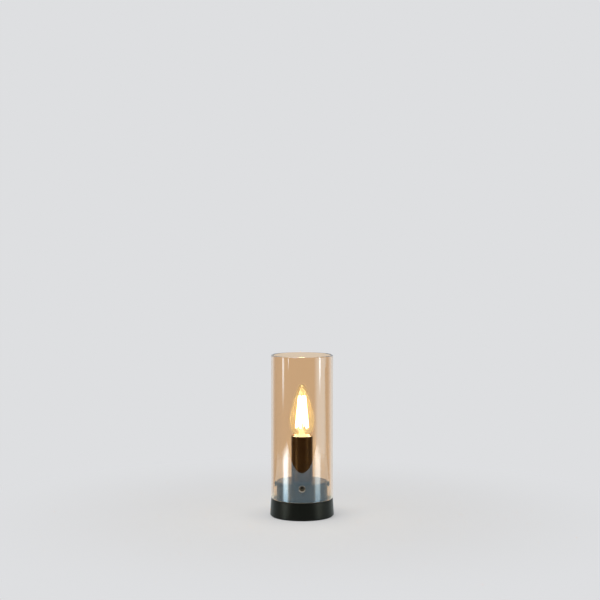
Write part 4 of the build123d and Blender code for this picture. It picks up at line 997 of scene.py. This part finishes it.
        # Painted gleams: emission on the slab that only mirrored rays see.
        gleams = []
        for middle, half, strength, start in GLEAMS:
            along = add_node(tree, "ShaderNodeMath", {0: spot.outputs["X"], 1: start[0]},
                             operation="SUBTRACT")
            nearer = add_node(tree, "ShaderNodeMath", {0: start[1], 1: spot.outputs["Y"]},
                              operation="SUBTRACT")
            turn = add_node(tree, "ShaderNodeMath", {0: along.outputs[0], 1: nearer.outputs[0]},
                            operation="ARCTAN2")
            off = add_node(tree, "ShaderNodeMath", {
                0: turn.outputs[0], 1: math.radians(middle)}, operation="SUBTRACT")
            off = add_node(tree, "ShaderNodeMath", {0: off.outputs[0]}, operation="ABSOLUTE")
            gleam = add_node(tree, "ShaderNodeMapRange", {
                "Value": off.outputs[0], "From Min": math.radians(half * GLEAM_EDGES[0]),
                "From Max": math.radians(half * GLEAM_EDGES[1]),
                "To Min": strength, "To Max": 0.0},
                interpolation_type="SMOOTHSTEP")
            gleams.append(gleam.outputs["Result"])
        gleam = add_node(tree, "ShaderNodeMath", {0: gleams[0], 1: gleams[1]}, operation="ADD")
        gleam = add_node(tree, "ShaderNodeMath", {0: gleam.outputs[0], 1: glossy},
                         operation="MULTIPLY")
        away = add_node(tree, "ShaderNodeVectorMath", {0: place}, operation="LENGTH")
        fading = add_node(tree, "ShaderNodeMapRange", {
            "Value": away.outputs["Value"], "From Min": GLEAM_RISE[0], "From Max": GLEAM_RISE[1],
            "To Min": GLEAM_LEAST, "To Max": 1.0})
        gleam = add_node(tree, "ShaderNodeMath", {
            0: gleam.outputs[0], 1: fading.outputs["Result"]}, operation="MULTIPLY")
        farther = add_node(tree, "ShaderNodeMapRange", {
            "Value": away.outputs["Value"], "From Min": GLEAM_WARMTH[0],
            "From Max": GLEAM_WARMTH[1]})
        tint = add_node(tree, "ShaderNodeMixRGB", {
            "Fac": farther.outputs["Result"], "Color1": GLEAM_NEAR, "Color2": GLEAM_FAR})
        stone = add_node(tree, "ShaderNodeBsdfPrincipled", {
            "Base Color": cool.outputs["Color"], "Roughness": 0.35,
            "Emission Color": tint.outputs["Color"], "Emission Strength": gleam.outputs[0]})
        matt = add_node(tree, "ShaderNodeBsdfDiffuse", {"Color": tone.outputs["Color"]})
        pale = add_node(tree, "ShaderNodeEmission", {"Color": (*colours.backdrop, 1)})
        behind = add_node(tree, "ShaderNodeEmission", {
            "Color": (*colours.backdrop, 1), "Strength": self.rear_light(tree, spot)})
        share = add_node(tree, "ShaderNodeMapRange", {
            "Value": away.outputs["Value"], "From Min": SHADOW_FADE[0],
            "From Max": SHADOW_FADE[1], "To Min": SHADOW_PLAIN, "To Max": 1.0},
            interpolation_type="SMOOTHSTEP")
        plain = add_node(tree, "ShaderNodeMixShader", {
            0: share.outputs["Result"], 1: matt.outputs[0], 2: pale.outputs[0]})
        across = add_node(tree, "ShaderNodeMath", {0: spot.outputs["X"]}, operation="ABSOLUTE")
        side = add_node(tree, "ShaderNodeMapRange", {
            "Value": across.outputs[0], "From Min": SLAB_SIDES[0], "From Max": SLAB_SIDES[1]},
            interpolation_type="SMOOTHSTEP")
        front = add_node(tree, "ShaderNodeMath", {0: spot.outputs["Y"], 1: SLAB_FRONT},
                         operation="LESS_THAN")
        ahead = add_node(tree, "ShaderNodeMath", {0: spot.outputs["Y"], 1: SLAB_BACK},
                         operation="LESS_THAN")
        past = add_node(tree, "ShaderNodeMath", {0: front.outputs[0], 1: side.outputs[0]},
                        operation="MAXIMUM")
        past = add_node(tree, "ShaderNodeMath", {0: past.outputs[0], 1: ahead.outputs[0]},
                        operation="MULTIPLY")
        gone = add_node(tree, "ShaderNodeMath", {0: past.outputs[0], 1: glossy},
                        operation="MULTIPLY")
        clear = add_node(tree, "ShaderNodeBsdfTransparent")
        slab = add_node(tree, "ShaderNodeMixShader", {
            0: ahead.outputs[0], 1: behind.outputs[0], 2: stone.outputs[0]})
        mirrored = add_node(tree, "ShaderNodeMixShader", {
            0: gone.outputs[0], 1: slab.outputs[0], 2: clear.outputs[0]})
        whole = add_node(tree, "ShaderNodeMixShader", {
            0: straight, 1: mirrored.outputs[0], 2: plain.outputs[0]})
        add_node(tree, "ShaderNodeOutputMaterial", {"Surface": whole.outputs[0]})
        return material

    def surroundings(self, scene, colours):
        # Pale behind the lamp and wherever it is looked at straight, dark in front of it, and a
        # plain grey as light on matt surfaces.
        world = bpy.data.worlds.new("Pale studio")
        scene.world = world
        world.use_nodes = True
        tree = world.node_tree
        tree.nodes.clear()
        straight, glossy, through = self.straight_ray(tree, turns_below=1.5)
        way = add_node(tree, "ShaderNodeTexCoord").outputs["Generated"]
        spot = add_node(tree, "ShaderNodeSeparateXYZ", {"Vector": way})
        mirrored = add_node(tree, "ShaderNodeMixRGB", {
            "Fac": self.rear_light(tree, spot), "Color1": STUDIO_DARK,
            "Color2": (*colours.backdrop, 1)})
        turned_ray = add_node(tree, "ShaderNodeMath", {0: glossy, 1: through}, operation="MAXIMUM")
        around = add_node(tree, "ShaderNodeMixRGB", {
            "Fac": turned_ray.outputs[0], "Color1": STUDIO_GREY,
            "Color2": mirrored.outputs["Color"]})
        tone = add_node(tree, "ShaderNodeMixRGB", {
            "Fac": straight, "Color1": around.outputs["Color"],
            "Color2": (*colours.backdrop, 1)})
        shine = add_node(tree, "ShaderNodeBackground", {"Color": tone.outputs["Color"]})
        add_node(tree, "ShaderNodeOutputWorld", {"Surface": shine.outputs[0]})


PIECES = (LAMP_OT_finishes, LAMP_OT_glass_shade, LAMP_OT_base, LAMP_OT_drum,
          LAMP_OT_glass_screws, LAMP_OT_sleeve, LAMP_OT_bulb_glass, LAMP_OT_stage)


class LAMP_PT_panel(bpy.types.Panel):
    """Lists the lamp's pieces, sizes and colours"""

    bl_idname = "LAMP_PT_panel"
    bl_label = "Table lamp"
    bl_space_type = "VIEW_3D"
    bl_region_type = "UI"
    bl_category = "Lamp"

    def draw(self, context):
        for piece in PIECES:
            self.layout.operator(piece.bl_idname)
        for group in (context.scene.lamp_sizes, context.scene.lamp_colours):
            for name in group.__annotations__:
                self.layout.prop(group, name)


CLASSES = (LampSizes, LampColours, *PIECES, LAMP_PT_panel)


def register():
    for each in CLASSES:
        bpy.utils.register_class(each)
    bpy.types.Scene.lamp_sizes = bpy.props.PointerProperty(type=LampSizes)
    bpy.types.Scene.lamp_colours = bpy.props.PointerProperty(type=LampColours)


def unregister():
    del bpy.types.Scene.lamp_colours
    del bpy.types.Scene.lamp_sizes
    for each in reversed(CLASSES):
        bpy.utils.unregister_class(each)


def main():
    register()
    for operator in (bpy.ops.lamp.finishes, bpy.ops.lamp.glass_shade, bpy.ops.lamp.base,
                     bpy.ops.lamp.drum, bpy.ops.lamp.glass_screws, bpy.ops.lamp.sleeve,
                     bpy.ops.lamp.bulb_glass, bpy.ops.lamp.stage):
        operator()


if __name__ == "__main__":
    main()
